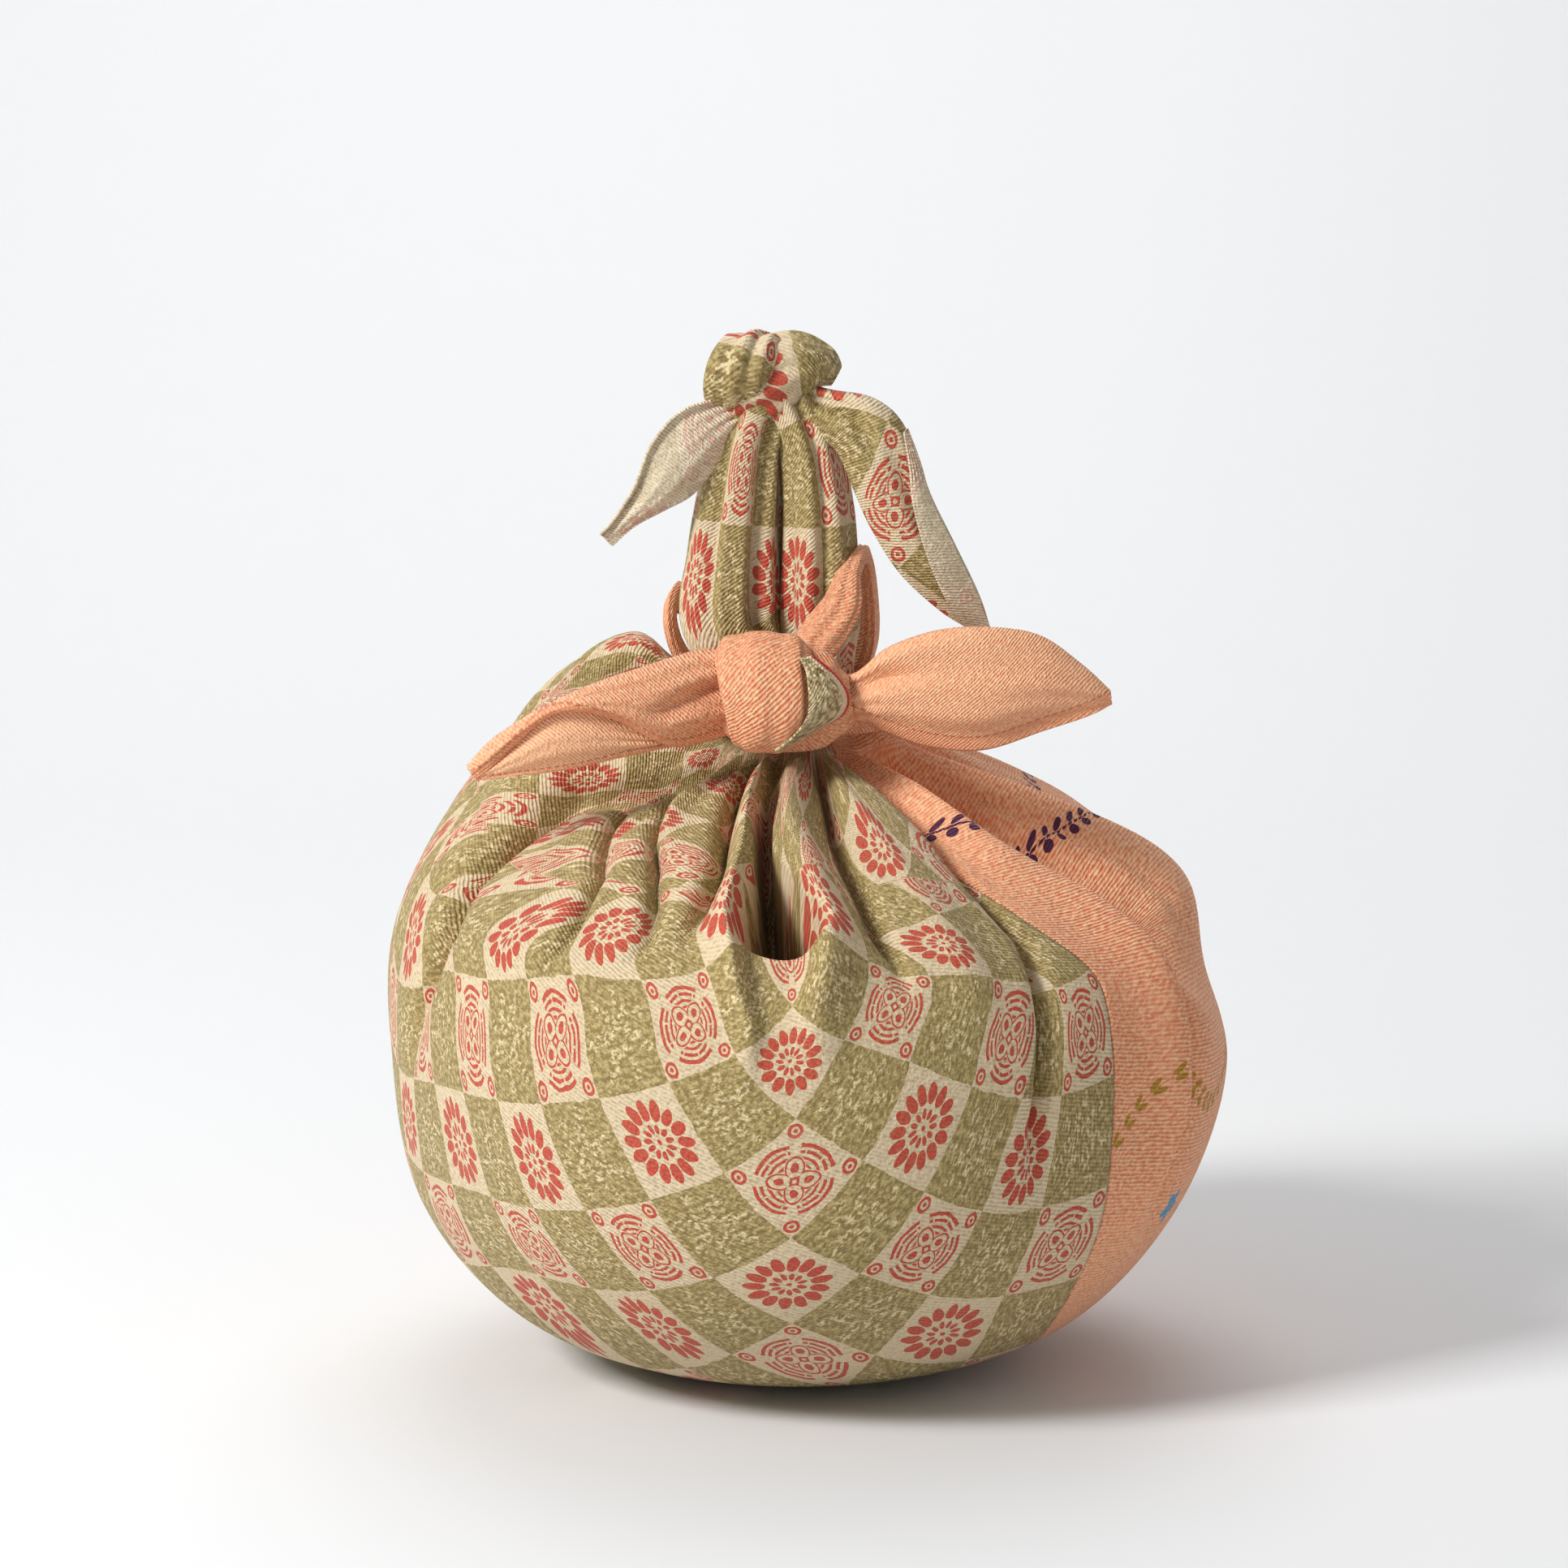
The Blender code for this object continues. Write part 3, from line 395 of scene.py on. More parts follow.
def profile(azimuth, station):
    """The smooth belly's radius and height at an azimuth and a station."""
    known = np.array(sorted(BELLY), float)
    table = np.array([UNDERSIDE + BELLY[int(a)] for a in known], float)
    known = np.concatenate([known - 360, known, known + 360])
    table = np.concatenate([table, table, table])
    azimuth, station = np.broadcast_arrays(np.asarray(azimuth, float), np.asarray(station, float))
    azimuth = (azimuth + 180) % 360 - 180
    i = np.searchsorted(known, azimuth, side="right") - 1
    last = len(STATIONS) - 1
    k = np.clip(np.floor(station).astype(int), 0, last - 1)
    part = (station - k)[..., None]
    row = []
    for near in (-1, 0, 1, 2):
        ends = [table[i + near, np.clip(k + step, 0, last)] for step in (-1, 0, 1, 2)]
        ends[0] = np.where((k == 0)[..., None], ends[2] * (-1, 1), ends[0])
        row.append(through(*ends, part))
    width = (known[i + 1] - known[i])[..., None]
    t = (azimuth - known[i])[..., None] / width
    before = (row[2] - row[0]) / (known[i + 1] - known[i - 1])[..., None] * width
    after = (row[3] - row[1]) / (known[i + 2] - known[i])[..., None] * width
    found = (2 * t**3 - 3 * t**2 + 1) * row[1] + (t**3 - 2 * t**2 + t) * before
    found = found + (3 * t**2 - 2 * t**3) * row[2] + (t**3 - t**2) * after
    found[..., 1] = np.maximum(found[..., 1], 0)
    return found


def belly(azimuth, station):
    """The point of the smooth belly at an azimuth and a station."""
    radius_height = profile(azimuth, station)
    level = direction(azimuth) * radius_height[..., :1]
    return np.concatenate([level, radius_height[..., 1:]], -1)


def outward(azimuth, station):
    """The unit normal of the smooth belly."""
    turn, climb = 0.5, 0.02
    low = np.clip(station - climb, 0, len(STATIONS) - 1)
    high = np.clip(station + climb, 0, len(STATIONS) - 1)
    round_bag = belly(azimuth + turn, station) - belly(azimuth - turn, station)
    up_bag = belly(azimuth, high) - belly(azimuth, low)
    normal = np.cross(round_bag, up_bag)
    size = np.linalg.norm(normal, axis=-1, keepdims=True)
    return np.where(size > 1e-4, normal / np.maximum(size, 1e-4), (0.0, 0.0, -1.0))


def route_centre(station, route):
    """The azimuth of a fold's route at a station."""
    route = np.array(sorted(route, key=lambda point: point[1]), float)
    return np.interp(station, route[:, 1], route[:, 0]), route[0, 1], route[-1, 1]


def relief(azimuth, station, radius):
    """How far the cloth stands out of the smooth belly, and how far it leans round it, in millimetres."""
    height = np.zeros_like(radius)
    lean = np.zeros_like(radius)
    slim = np.clip(radius / FULL_WIDTH_RADIUS, 0.3, 1)
    for size, half_width, over, route in FOLDS.values():
        centre, start, end = route_centre(station, route)
        reach = np.radians((azimuth - centre + 180) % 360 - 180) * np.maximum(radius, 1)
        live = ramp(station, start - 0.7, start + 0.6) * (1 - ramp(station, end + 0.1, end + 0.9))
        narrow = half_width * slim
        sharp = SHARP_CREASE if size < 0 else SOFT_CREST
        height = height + size * live * np.exp(-(np.abs(reach / narrow) ** sharp))
        if over:
            lip = reach / narrow + (np.sign(over) * LIP_OFF if size < 0 else 0)
            height = height + LIP_HEIGHT * abs(size) * live * np.exp(-(lip**2))
            lean = lean + over * live * np.exp(-(lip**2)) * slim
    for count, size, phase in GATHERS:
        wander = azimuth + 3 * np.sin(np.radians(5 * azimuth + phase)) + 4 * (station - 7)
        wave = np.sin(np.radians(count * wander + phase))
        height = height + size * ramp(station, GATHER_STARTS, GATHER_FULL) * wave
    centre, _, _ = route_centre(station, POCKET_ROUTE)
    reach = np.radians(azimuth - centre) * radius
    half = POCKET_MOUTH + (POCKET_TOP - POCKET_MOUTH) * ramp(station, *POCKET_NARROWS)
    floor = POCKET_FLOOR + 0.16 * np.clip(reach / POCKET_MOUTH, -1.5, 1.5) ** 2
    open_here = ramp(station, floor - 0.06, floor + 0.26) * (1 - ramp(station, *POCKET_CLOSES))
    pocket = open_here * np.exp(-((reach / half) ** 6)) * (np.abs(azimuth - centre) < 90)
    fade = np.clip(radius / 40, 0, 1) * ramp(radius, 12, 30)
    return (height - POCKET_DEPTH * pocket) * fade, lean * fade


def bag_place(turn, station):
    """Where on the bag a place on the cloth lies: its azimuth and station."""
    near_seam = np.clip(np.abs((turn - SEAM_TURN + 180) % 360 - 180) / SEAM_DRIFT_REACH, 0, 1)
    azimuth = turn - SEAM_DRIFT * ramp(station, *SEAM_DRIFTS) * (1 - ramp(near_seam, 0, 1))
    radius = profile(azimuth, station)[..., 0]
    shift = CENTRE_SHIFT * (1 - ramp(radius, 0, SHIFT_ENDS)) * (station < 3)
    level = direction(azimuth) * radius[..., None] + direction(CENTRE_TOWARDS) * shift[..., None]
    moved = np.degrees(np.arctan2(level[..., 0], -level[..., 1]))
    azimuth = np.where(shift > 0, moved, azimuth)
    wanted = np.linalg.norm(level, axis=-1)
    low, high = np.zeros_like(wanted), np.full_like(wanted, 3.6)
    for _ in range(24):
        middle = (low + high) / 2
        inside = profile(azimuth, middle)[..., 0] < wanted
        low, high = np.where(inside, middle, low), np.where(inside, high, middle)
    return azimuth, np.where(shift > 0, (low + high) / 2, station)


def cloth_point(turn, station):
    """The point of the folded bag for a place on the cloth, with its unit normal on the smooth bag."""
    azimuth, station = bag_place(turn, station)
    radius = profile(azimuth, station)[..., 0]
    height, lean = relief(azimuth, station, radius)
    normal = outward(azimuth, station)
    azimuth = azimuth + np.degrees(lean / np.maximum(radius, 12))
    return belly(azimuth, station) + normal * height[..., None], normal


def hidden_turn(turn, station, first, last, share):
    """The direction on the cloth where part of the cloth is taken up inside the folds' valleys."""
    azimuth, _ = bag_place(turn, station)
    seam = SEAM_TURN - SEAM_DRIFT * ramp(station, *SEAM_DRIFTS)
    start = np.where(first > 0, seam, first)
    end = np.where(last > SEAM_TURN, last, seam)
    azimuth = np.where(station < 3, turn, azimuth)
    steps, total = np.zeros_like(turn), np.zeros_like(turn)
    for size, _, _, route in FOLDS.values():
        centre, low, _ = route_centre(station, route)
        for lap in (-360, 0, 360):
            inside = (centre + lap > start + 3) & (centre + lap < end - 3)
            weight = np.where(inside & (size < -3), -size, 0) * ramp(station, low - 0.6, low + 0.8)
            steps = steps + weight * (0.5 + 0.5 * np.tanh((azimuth - centre - lap) / 1.6))
            total = total + weight
    taken = share * ramp(station, 4.6, 7.0) * np.minimum(total / 8, 1)
    even = (azimuth - start) / (end - start)
    folded = steps / np.maximum(total, 1e-6)
    return first + (last - first) * ((1 - taken) * even + taken * folded)


def smooth_fit(spots, values, slack):
    """A function that gives smooth values through the values at the spots, within some slack."""
    def bend(distance):
        return distance**2 * np.log(np.maximum(distance, 1e-6))

    def gaps(places):
        return np.linalg.norm(places[:, None] - spots[None], axis=2)

    count = len(spots)
    level = np.column_stack([np.ones(count), spots])
    table = np.zeros((count + 3, count + 3))
    table[:count, :count] = bend(gaps(spots)) + slack * np.eye(count)
    table[:count, count:] = level
    table[count:, :count] = level.T
    wanted = np.concatenate([values, np.zeros((3, values.shape[1]))])
    weights = np.linalg.solve(table, wanted)

    def fitted(places):
        plane = np.column_stack([np.ones(len(places)), places])
        return bend(gaps(places)) @ weights[:count] + plane @ weights[count:]

    return fitted


class Value:
    """A socket that holds a number on the surface: arithmetic on it adds Math nodes."""

    def __init__(self, cloth, socket):
        self.cloth = cloth
        self.socket = socket

    def math(self, operation, *others):
        return self.cloth.math(operation, self, *others)

    def __add__(self, other):
        return self.math("ADD", other)

    __radd__ = __add__

    def __sub__(self, other):
        return self.math("SUBTRACT", other)

    def __rsub__(self, other):
        return self.cloth.math("SUBTRACT", other, self)

    def __mul__(self, other):
        return self.math("MULTIPLY", other)

    __rmul__ = __mul__

    def __truediv__(self, other):
        return self.math("DIVIDE", other)

    def __rtruediv__(self, other):
        return self.cloth.math("DIVIDE", other, self)

    def __lt__(self, other):
        return self.math("LESS_THAN", other)

    def __gt__(self, other):
        return self.math("GREATER_THAN", other)

    def clamped(self):
        return self.math("MINIMUM", 1.0).math("MAXIMUM", 0.0)


class Finish:
    """A material under construction, on a Principled BSDF."""

    def __init__(self, name, material=None):
        self.material = material or bpy.data.materials.new(name)
        self.material.use_nodes = True
        self.nodes = self.material.node_tree.nodes
        self.links = self.material.node_tree.links
        self.shader = self.nodes["Principled BSDF"]

    def node(self, kind, settings=None, outlet=0, **values):
        """A node of this kind: its settings first, then each socket's value or link, by name or by index."""
        made = self.nodes.new("ShaderNode" + kind)
        for name, setting in (settings or {}).items():
            setattr(made, name, setting)
        for name, value in values.items():
            key = int(name[1:]) if name[0] == "i" and name[1:].isdigit() else name.replace("_", " ")
            self.put(made.inputs[key], value)
        return Value(self, made.outputs[outlet])

    def put(self, socket, value):
        if isinstance(value, Value):
            self.links.new(value.socket, socket)
        else:
            socket.default_value = value

    def math(self, operation, *values):
        return self.node("Math", {"operation": operation}, **{f"i{i}": v for i, v in enumerate(values)})

    def mix(self, factor, first, second):
        """Colours mixed by a factor."""
        return self.node("Mix", {"data_type": "RGBA"}, 2, i0=factor, i6=first, i7=second)

    def noise(self, where, scale, detail=2.0, rough=0.5):
        return self.node("TexNoise", None, 0, Vector=where, Scale=scale, Detail=detail, Roughness=rough)

    def stretched(self, where, x, y):
        return self.node("Mapping", None, 0, Vector=where, Scale=(x, y, 1.0))

    def split(self, where):
        """The first two numbers of a place."""
        first = self.node("SeparateXYZ", None, 0, i0=where)
        return first, Value(self, first.socket.node.outputs[1])

    def map(self, title):
        return self.node("UVMap", {"uv_map": title})

    def base(self):
        """The colour that the surface already has."""
        return Value(self, self.shader.inputs["Base Color"].links[0].from_socket)

    def painted(self, colour):
        """The material, with this colour as its surface's."""
        self.put(self.shader.inputs["Base Color"], colour)
        return self.material


def crepe(cloth, strength, sheen):
    """The crepe's crinkled weave as fine relief, and its soft silk gloss."""
    where = cloth.map("weave")
    grain = cloth.noise(cloth.stretched(where, *GRAIN), 1.0, 2.0, 0.6)
    twill = cloth.node(
        "TexWave",
        {"wave_type": "BANDS", "bands_direction": "DIAGONAL"},
        1,
        Vector=cloth.stretched(where, *TWILL),
        Scale=0.62, Distortion=2.4, Detail=2.0, Detail_Scale=0.9,
    )
    pucker = cloth.noise(cloth.stretched(where, *PUCKERS), 1.0, 2.0, 0.5)
    height = grain * 0.8 + twill * 0.35 + pucker * 0.5
    bump = cloth.node("Bump", None, 0, Strength=strength, Distance=CREPE_RELIEF, Height=height)
    cloth.put(cloth.shader.inputs["Normal"], bump)
    cloth.put(cloth.shader.inputs["Roughness"], 0.52 + grain * 0.22)
    cloth.shader.inputs["Sheen Weight"].default_value = sheen
    cloth.shader.inputs["Sheen Roughness"].default_value = 0.45
    cloth.shader.inputs["Specular IOR Level"].default_value = 0.3
    return grain, twill


def petals(cloth, angle, radius, count, middle, long, wide, turn=0.0):
    """1 inside the petals of a flower: count of them, at a middle radius, so long and so wide."""
    part = (angle * (count / (2 * math.pi)) + turn).math("FRACT") - 0.5
    across = part * radius * (2 * math.pi / count / wide)
    out = (radius - middle) / long
    return (across * across + out * out) < 1.0


def band(value, centre, half):
    """1 where a value lies within half of a centre."""
    return (value - centre).math("ABSOLUTE") < half


def check_print(name, fade=0.0):
    """Olive and cream checks with red chrysanthemums and ring ornaments, on crepe."""
    cloth = Finish(name)
    where = cloth.map("cloth")
    wobble = cloth.node("TexNoise", None, 1, Vector=where, Scale=260.0, Detail=2.0)
    shaken = cloth.node("VectorMath", {"operation": "SUBTRACT"}, 0, i0=wobble, i1=(0.5, 0.5, 0.5))
    shaken = cloth.node("VectorMath", {"operation": "SCALE"}, 0, i0=shaken, Scale=0.0011)
    drawn = cloth.node("VectorMath", {"operation": "ADD"}, 0, i0=where, i1=shaken)
    along_seam, out = cloth.split(drawn)
    u, v = along_seam / (CHECK_CELL * MM), out / (CHECK_CELL * MM)
    column, row = u.math("FLOOR"), v.math("FLOOR")
    x, y = u - column - 0.5, v - row - 0.5
    odd_cell = (column + row).math("FLOORED_MODULO", 2.0)
    even_row = 1.0 - row.math("FLOORED_MODULO", 2.0)
    radius = (x * x + y * y).math("SQRT")
    angle = y.math("ARCTAN2", x)

    flower = petals(cloth, angle, radius, *OUTER_PETALS)
    flower = flower.math("MAXIMUM", petals(cloth, angle, radius, *INNER_PETALS))
    flower = flower.math("MAXIMUM", radius < FLOWER_EYE)

    dash = (angle * (10 / (2 * math.pi)) + 0.25).math("FRACT") < 0.9
    quarter = (angle * 2.0).math("SINE").math("ABSOLUTE") < 0.95
    rings = band(radius, *OUTER_RING).math("MAXIMUM", band(radius, *DASHED_RING) * dash) * quarter
    leaf_part = (angle * (4 / (2 * math.pi))).math("FRACT") - 0.5
    leaf_across = leaf_part * radius * (2 * math.pi / 4 / 0.105)
    leaf_out = (radius - 0.152) / 0.125
    leaf = leaf_across * leaf_across + leaf_out * leaf_out
    leaves = band(leaf, 0.86, 0.2).math("MAXIMUM", leaf < 0.17)
    corner_x, corner_y = x.math("ABSOLUTE") - CORNER, y.math("ABSOLUTE") - CORNER
    corner = (corner_x * corner_x + corner_y * corner_y).math("SQRT")
    dots = band(corner, *CORNER_RING).math("MAXIMUM", corner < CORNER_DOT)
    between = band(radius, *INNER_RINGS[0]).math("MAXIMUM", band(radius, *INNER_RINGS[1]))
    between = between * (leaf > 1.3) * quarter
    ornament = rings.math("MAXIMUM", leaves).math("MAXIMUM", dots).math("MAXIMUM", between)

    motif = flower + (ornament - flower) * even_row
    worn = cloth.noise(where, 1500.0, 2.0, 0.6)
    red_ink = motif * (worn * 0.6 + 0.66).math("MINIMUM", 1.0)
    cream = cloth.mix(worn * 0.5, CREAM, WORN_CREAM)
    cream_cell = cloth.mix(red_ink, cream, RED)

    seed = cloth.node("TexWhiteNoise", {"noise_dimensions": "2D"}, 0,
                      Vector=cloth.node("CombineXYZ", None, 0, X=column, Y=row))
    spread = radius + (cloth.noise(where, 420.0, 3.0, 0.6) - 0.5) * 0.16
    blossom = petals(cloth, angle + seed * 6.0, spread, *PALE_PETALS)
    sprig = petals(cloth, angle + seed * 6.0, spread, *PALE_SPRIG)
    streak = cloth.noise(cloth.stretched(where, *STREAKS), 1.0, 3.0, 0.7)
    ground = cloth.mix(((streak - 0.40) * 5.0).clamped(), DARK_OLIVE, OLIVE)
    fleck = ((streak - 0.47) * 9.0).clamped()
    cover = blossom.math("MAXIMUM", sprig) * 0.65 + 0.25
    green_cell = cloth.mix(fleck * cover, ground, PALE_OLIVE)
    colour = cloth.mix(odd_cell, cream_cell, green_cell)
    tint = cloth.noise(cloth.stretched(where, 14, 14), 1.0, 2.0)
    colour = cloth.mix(tint * 0.16, colour, (0.42, 0.33, 0.15, 1))
    if fade:
        colour = cloth.mix(fade, colour, FADED)
    grain, twill = crepe(cloth, 0.9, 0.08)
    # Painted shade: darker where the weave's relief (grain and twill) is low, in its hollows
    shade = ((0.5 - grain) * 4.0 + (0.5 - twill) * 0.8 + 0.1).clamped()
    colour = cloth.mix(shade * 0.45, colour, PAINTED_WEAVE_SHADE)
    return cloth.painted(colour)


def coral_crepe(name):
    """Plain coral crepe, varied in tone, with painted highlight on its weave's raised threads and painted
    shade in its hollows.
    """
    cloth = Finish(name)
    where = cloth.map("weave")
    grain, twill = crepe(cloth, 1.0, 0.1)
    tint = cloth.noise(cloth.stretched(where, 20, 9), 1.0, 3.0)
    # Random tone, with painted highlight where the weave's relief is high and painted shade where it is low
    fleck = (grain - 0.5) * 2.8 + (twill - 0.5) * 0.5 + (tint - 0.5) * 0.5 + 0.5
    colour = cloth.mix(fleck.clamped(), CORAL, PALE_CORAL)
    return cloth.painted(colour)


def hemmed(name, fade, hem):
    """Coral crepe with a stitched hem along a loose end's lower edge, paler where the cloth is single."""
    coral_crepe(name)
    cloth = Finish(name, bpy.data.materials[name])
    run, inward = cloth.split(cloth.map("edge"))
    turned = inward < hem * MM
    stitch = band(inward, hem * MM, HEM_STITCH) * ((run * STITCHES_PER_METRE).math("FRACT") < 0.6)
    single = cloth.mix(fade, cloth.base(), PALE_CORAL)
    colour = cloth.mix(turned * 0.35, single, CORAL)
    colour = cloth.mix(stitch * 0.7, colour, (0.5, 0.14, 0.06, 1))
    return cloth.painted(colour)


def check_tab(name):
    """The check cloth's edge in the knot: olive, then a cream border and a red line at its edge."""
    cloth = Finish(name)
    where = cloth.map("edge")
    inward = cloth.split(where)[1]
    streak = cloth.noise(cloth.stretched(where, *STREAKS), 1.0, 3.0, 0.7)
    ground = cloth.mix(((streak - 0.4) * 5.0).clamped(), DARK_OLIVE, PALE_OLIVE)
    colour = cloth.mix(inward < BORDER, ground, CREAM)
    colour = cloth.mix(inward < RED_LINE, colour, RED)
    crepe(cloth, 0.9, 0.08)
    return cloth.painted(colour)


def drawn_vine(cloth, colour, title, ink):
    """The colour with a vine drawn over it: a thin stem with a pair of leaves at each step."""
    run, off = cloth.split(cloth.map(title))
    along_leaf = (run * LEAVES_PER_METRE).math("FRACT") - 0.5 - (off - 0.55) * 0.35
    up_leaf = off - 0.55
    leaf = (along_leaf * along_leaf * 13.0 + up_leaf * up_leaf * 6.0) < 1.0
    return cloth.mix(leaf.math("MAXIMUM", off < 0.12), colour, ink)


def drawn_coral(name):
    """Coral crepe with a plum and a mustard vine and a small blue blossom drawn on it."""
    coral_crepe(name)
    cloth = Finish(name, bpy.data.materials[name])
    colour = drawn_vine(cloth, cloth.base(), "mustard", MUSTARD)
    colour = drawn_vine(cloth, colour, "plum", PLUM)
    x, y = cloth.split(cloth.map("blossom"))
    out = (x * x + y * y).math("SQRT")
    colour = cloth.mix(petals(cloth, y.math("ARCTAN2", x), out, *DRAWN_PETALS), colour, BLOSSOM_BLUE)
    colour = cloth.mix(out < DRAWN_EYE, colour, MUSTARD)
    return cloth.painted(colour)


def placed(name, data):
    """A new object in the scene."""
    thing = bpy.data.objects.new(name, data)
    bpy.context.scene.collection.objects.link(thing)
    return thing


def moved_grid(name, columns, rows, place, maps, material, closed=False):
    """A grid whose points are moved to place(across, up), with a UV map in metres for each of the maps."""
    bm = bmesh.new()
    bmesh.ops.create_grid(bm, x_segments=columns, y_segments=rows, size=0.5)
    flat = np.array([vert.co[:2] for vert in bm.verts]) + 0.5
    mesh = bpy.data.meshes.new(name)
    bm.to_mesh(mesh)
    bm.free()
    points = place(flat[:, 0], flat[:, 1]) * MM
    mesh.vertices.foreach_set("co", points.astype(np.float32).ravel())
    corners = np.empty(len(mesh.loops), np.int32)
    mesh.loops.foreach_get("vertex_index", corners)
    for title, cloth_place in maps.items():
        spots = cloth_place(flat[:, 0], flat[:, 1])
        layer = mesh.uv_layers.new(name=title)
        layer.data.foreach_set("uv", spots[corners].astype(np.float32).ravel())
    bm = bmesh.new()
    bm.from_mesh(mesh)
    bmesh.ops.remove_doubles(bm, verts=bm.verts, dist=1e-6)
    if closed:
        bmesh.ops.holes_fill(bm, edges=[edge for edge in bm.edges if edge.is_boundary])
        bmesh.ops.recalc_face_normals(bm, faces=bm.faces)
    bm.to_mesh(mesh)
    bm.free()
    mesh.shade_smooth()
    mesh.materials.append(material)
    return placed(name, mesh)


def thicken(thing, thickness, offset):
    """Gives a sheet its cloth's thickness."""
    thick = thing.modifiers.new("cloth", "SOLIDIFY")
    thick.thickness = thickness * MM
    thick.offset = offset
    return thing


def spaced(first, last, crowded):
    """A function from 0 to 1 onto first to last, with its steps closer together near the crowded places."""
    places = np.linspace(first, last, 801)
    weight = np.ones_like(places)
    for middle, half_width, extra in crowded:
        weight = weight + extra * np.exp(-(((places - middle) / half_width) ** 4))
    total = np.concatenate([[0], np.cumsum((weight[1:] + weight[:-1]) / 2)])
    return lambda share: np.interp(share, total / total[-1], places)


def wall(name, first, last, gap, hidden, columns, rows, material, lay=False, drawn=None):
    """One half of the cloth as the bag's wall, printed as it was cut: p along the seam and q square to it."""
    aside_by = np.append(direction(CENTRE_TOWARDS) * gap, 0)
    top = len(STATIONS) - 1
    turn_at = spaced(first, last, CROWDED_TURNS)
    station_at = spaced(0, top, CROWDED_STATIONS)

    def place(across, up):
        return cloth_point(turn_at(across), station_at(up))[0] + aside_by

    turns = np.linspace(first, last, 91)
    stations = np.linspace(0, top, 201)
    azimuth, station = bag_place(*np.meshgrid(turns, stations, indexing="ij"))
    steps = np.linalg.norm(np.diff(belly(azimuth, station), axis=1), axis=2)
    lengths = np.concatenate([np.zeros((len(turns), 1)), np.cumsum(steps, axis=1)], axis=1)

    def run_to(turn, station):
        i = np.clip((turn - first) / (last - first) * (len(turns) - 1), 0, len(turns) - 1.001)
        j = np.clip(station / top * (len(stations) - 1), 0, len(stations) - 1.001)
        a, b = i.astype(int), j.astype(int)
        s, t = i - a, j - b
        length = (lengths[a, b] * (1 - s) + lengths[a + 1, b] * s) * (1 - t)
        return length + (lengths[a, b + 1] * (1 - s) + lengths[a + 1, b + 1] * s) * t

    def flat(turn, station):
        length = run_to(turn, station)
        shown = np.radians(hidden_turn(turn, station, first, last, hidden) - SEAM_TURN)
        return np.stack([length * np.cos(shown), -length * np.sin(shown)], -1)

    def spot(turn, station):
        return np.stack([turn * GIRTH_PER_DEGREE, run_to(turn, station)], -1)

    if lay:
        seen = [(turn, station, i + 0.5, j + 0.5) for i, j, turn, station in PRINT_LAY]
        seen += [(SEAM_TURN, station, along_seam, 0) for along_seam, station in SEAM_LAY]
        seen = np.array(seen)
        far = np.array([(turn, station) for turn in UNPRINTED_TURNS for station in range(1, 10)], float)
        low = np.array([(turn, LOW_STATION) for turn in LOW_TURNS], float)
        plain = np.concatenate([far, low])
        places = np.concatenate([seen[:, :2], plain])
        off = seen[:, 2:] * CHECK_CELL - flat(seen[:, 0], seen[:, 1])
        off = np.concatenate([off, np.zeros((len(plain), 2))])
        fitted = smooth_fit(spot(places[:, 0], places[:, 1]), off, LAY_SLACK)

    def cloth_place(across, up):
        turn, station = turn_at(across), station_at(up)
        place_on_cloth = flat(turn, station)
        if lay:
            shown = ramp(turn, -130, -105)
            place_on_cloth = place_on_cloth + fitted(spot(turn, station)) * shown[:, None]
            edge = fitted(spot(np.full_like(turn, last), station))[:, 1] * ramp(turn, 25, 45)
            place_on_cloth[:, 1] = np.maximum(place_on_cloth[:, 1] - edge, 0.01)
        return place_on_cloth * MM

    def weave_place(across, up):
        turn, station = turn_at(across), station_at(up)
        return np.stack([np.radians(turn) * 60, run_to(turn, station)], -1) * MM

    def line_place(lines):
        def nearest(across, up):
            turn, station = turn_at(across), station_at(up)
            length = run_to(turn, station)
            found = np.column_stack([np.zeros_like(turn), np.full_like(turn, FAR_OFF)])
            for half, route in lines:
                spots = along(route, np.linspace(0, 1, DRAWN_STEPS))
                radius = profile(*bag_place(spots[:, 0], spots[:, 1]))[:, 0]
                line_length = run_to(spots[:, 0], spots[:, 1])
                steps = np.stack([np.diff(np.radians(spots[:, 0])) * radius[1:], np.diff(line_length)], -1)
                travelled = np.concatenate([[0], np.cumsum(np.linalg.norm(steps, axis=1))])
                ahead = unit(np.concatenate([steps[:1], steps]))
                for k in range(0, len(turn), 4096):
                    some = slice(k, k + 4096)
                    x = np.radians(turn[some, None] - spots[None, :, 0]) * radius
                    y = length[some, None] - line_length
                    best = np.argmin(x**2 + y**2, axis=1)
                    pick = np.arange(len(best))
                    x, y = x[pick, best], y[pick, best]
                    past = x * ahead[best, 0] + y * ahead[best, 1]
                    aside = np.abs(x * ahead[best, 1] - y * ahead[best, 0])
                    ends = ((best == 0) & (past < 0)) | ((best == len(spots) - 1) & (past > 0))
                    aside = np.where(ends, np.hypot(past, aside) + half, aside) / half
                    nearer = aside < found[some, 1]
                    run = (travelled[best] + past) * MM
                    found[some] = np.where(nearer[:, None], np.stack([run, aside], -1), found[some])
            return found
        return nearest

    def blossom_place(across, up):
        turn, station, size = np.array(BLOSSOM)[:, None]
        radius = profile(*bag_place(turn, station))[0, 0]
        x = np.radians(turn_at(across) - turn) * radius
        y = run_to(turn_at(across), station_at(up)) - run_to(turn, station)
        return np.stack([x, y], -1) / size

    maps = {"cloth": cloth_place, "weave": weave_place}
    if drawn:
        maps.update({title: line_place(lines) for title, lines in drawn.items()}, blossom=blossom_place)
    sheet = thicken(moved_grid(name, columns, rows, place, maps, material), CLOTH, -1)
    sheet.modifiers["cloth"].use_rim_only = True
    return sheet


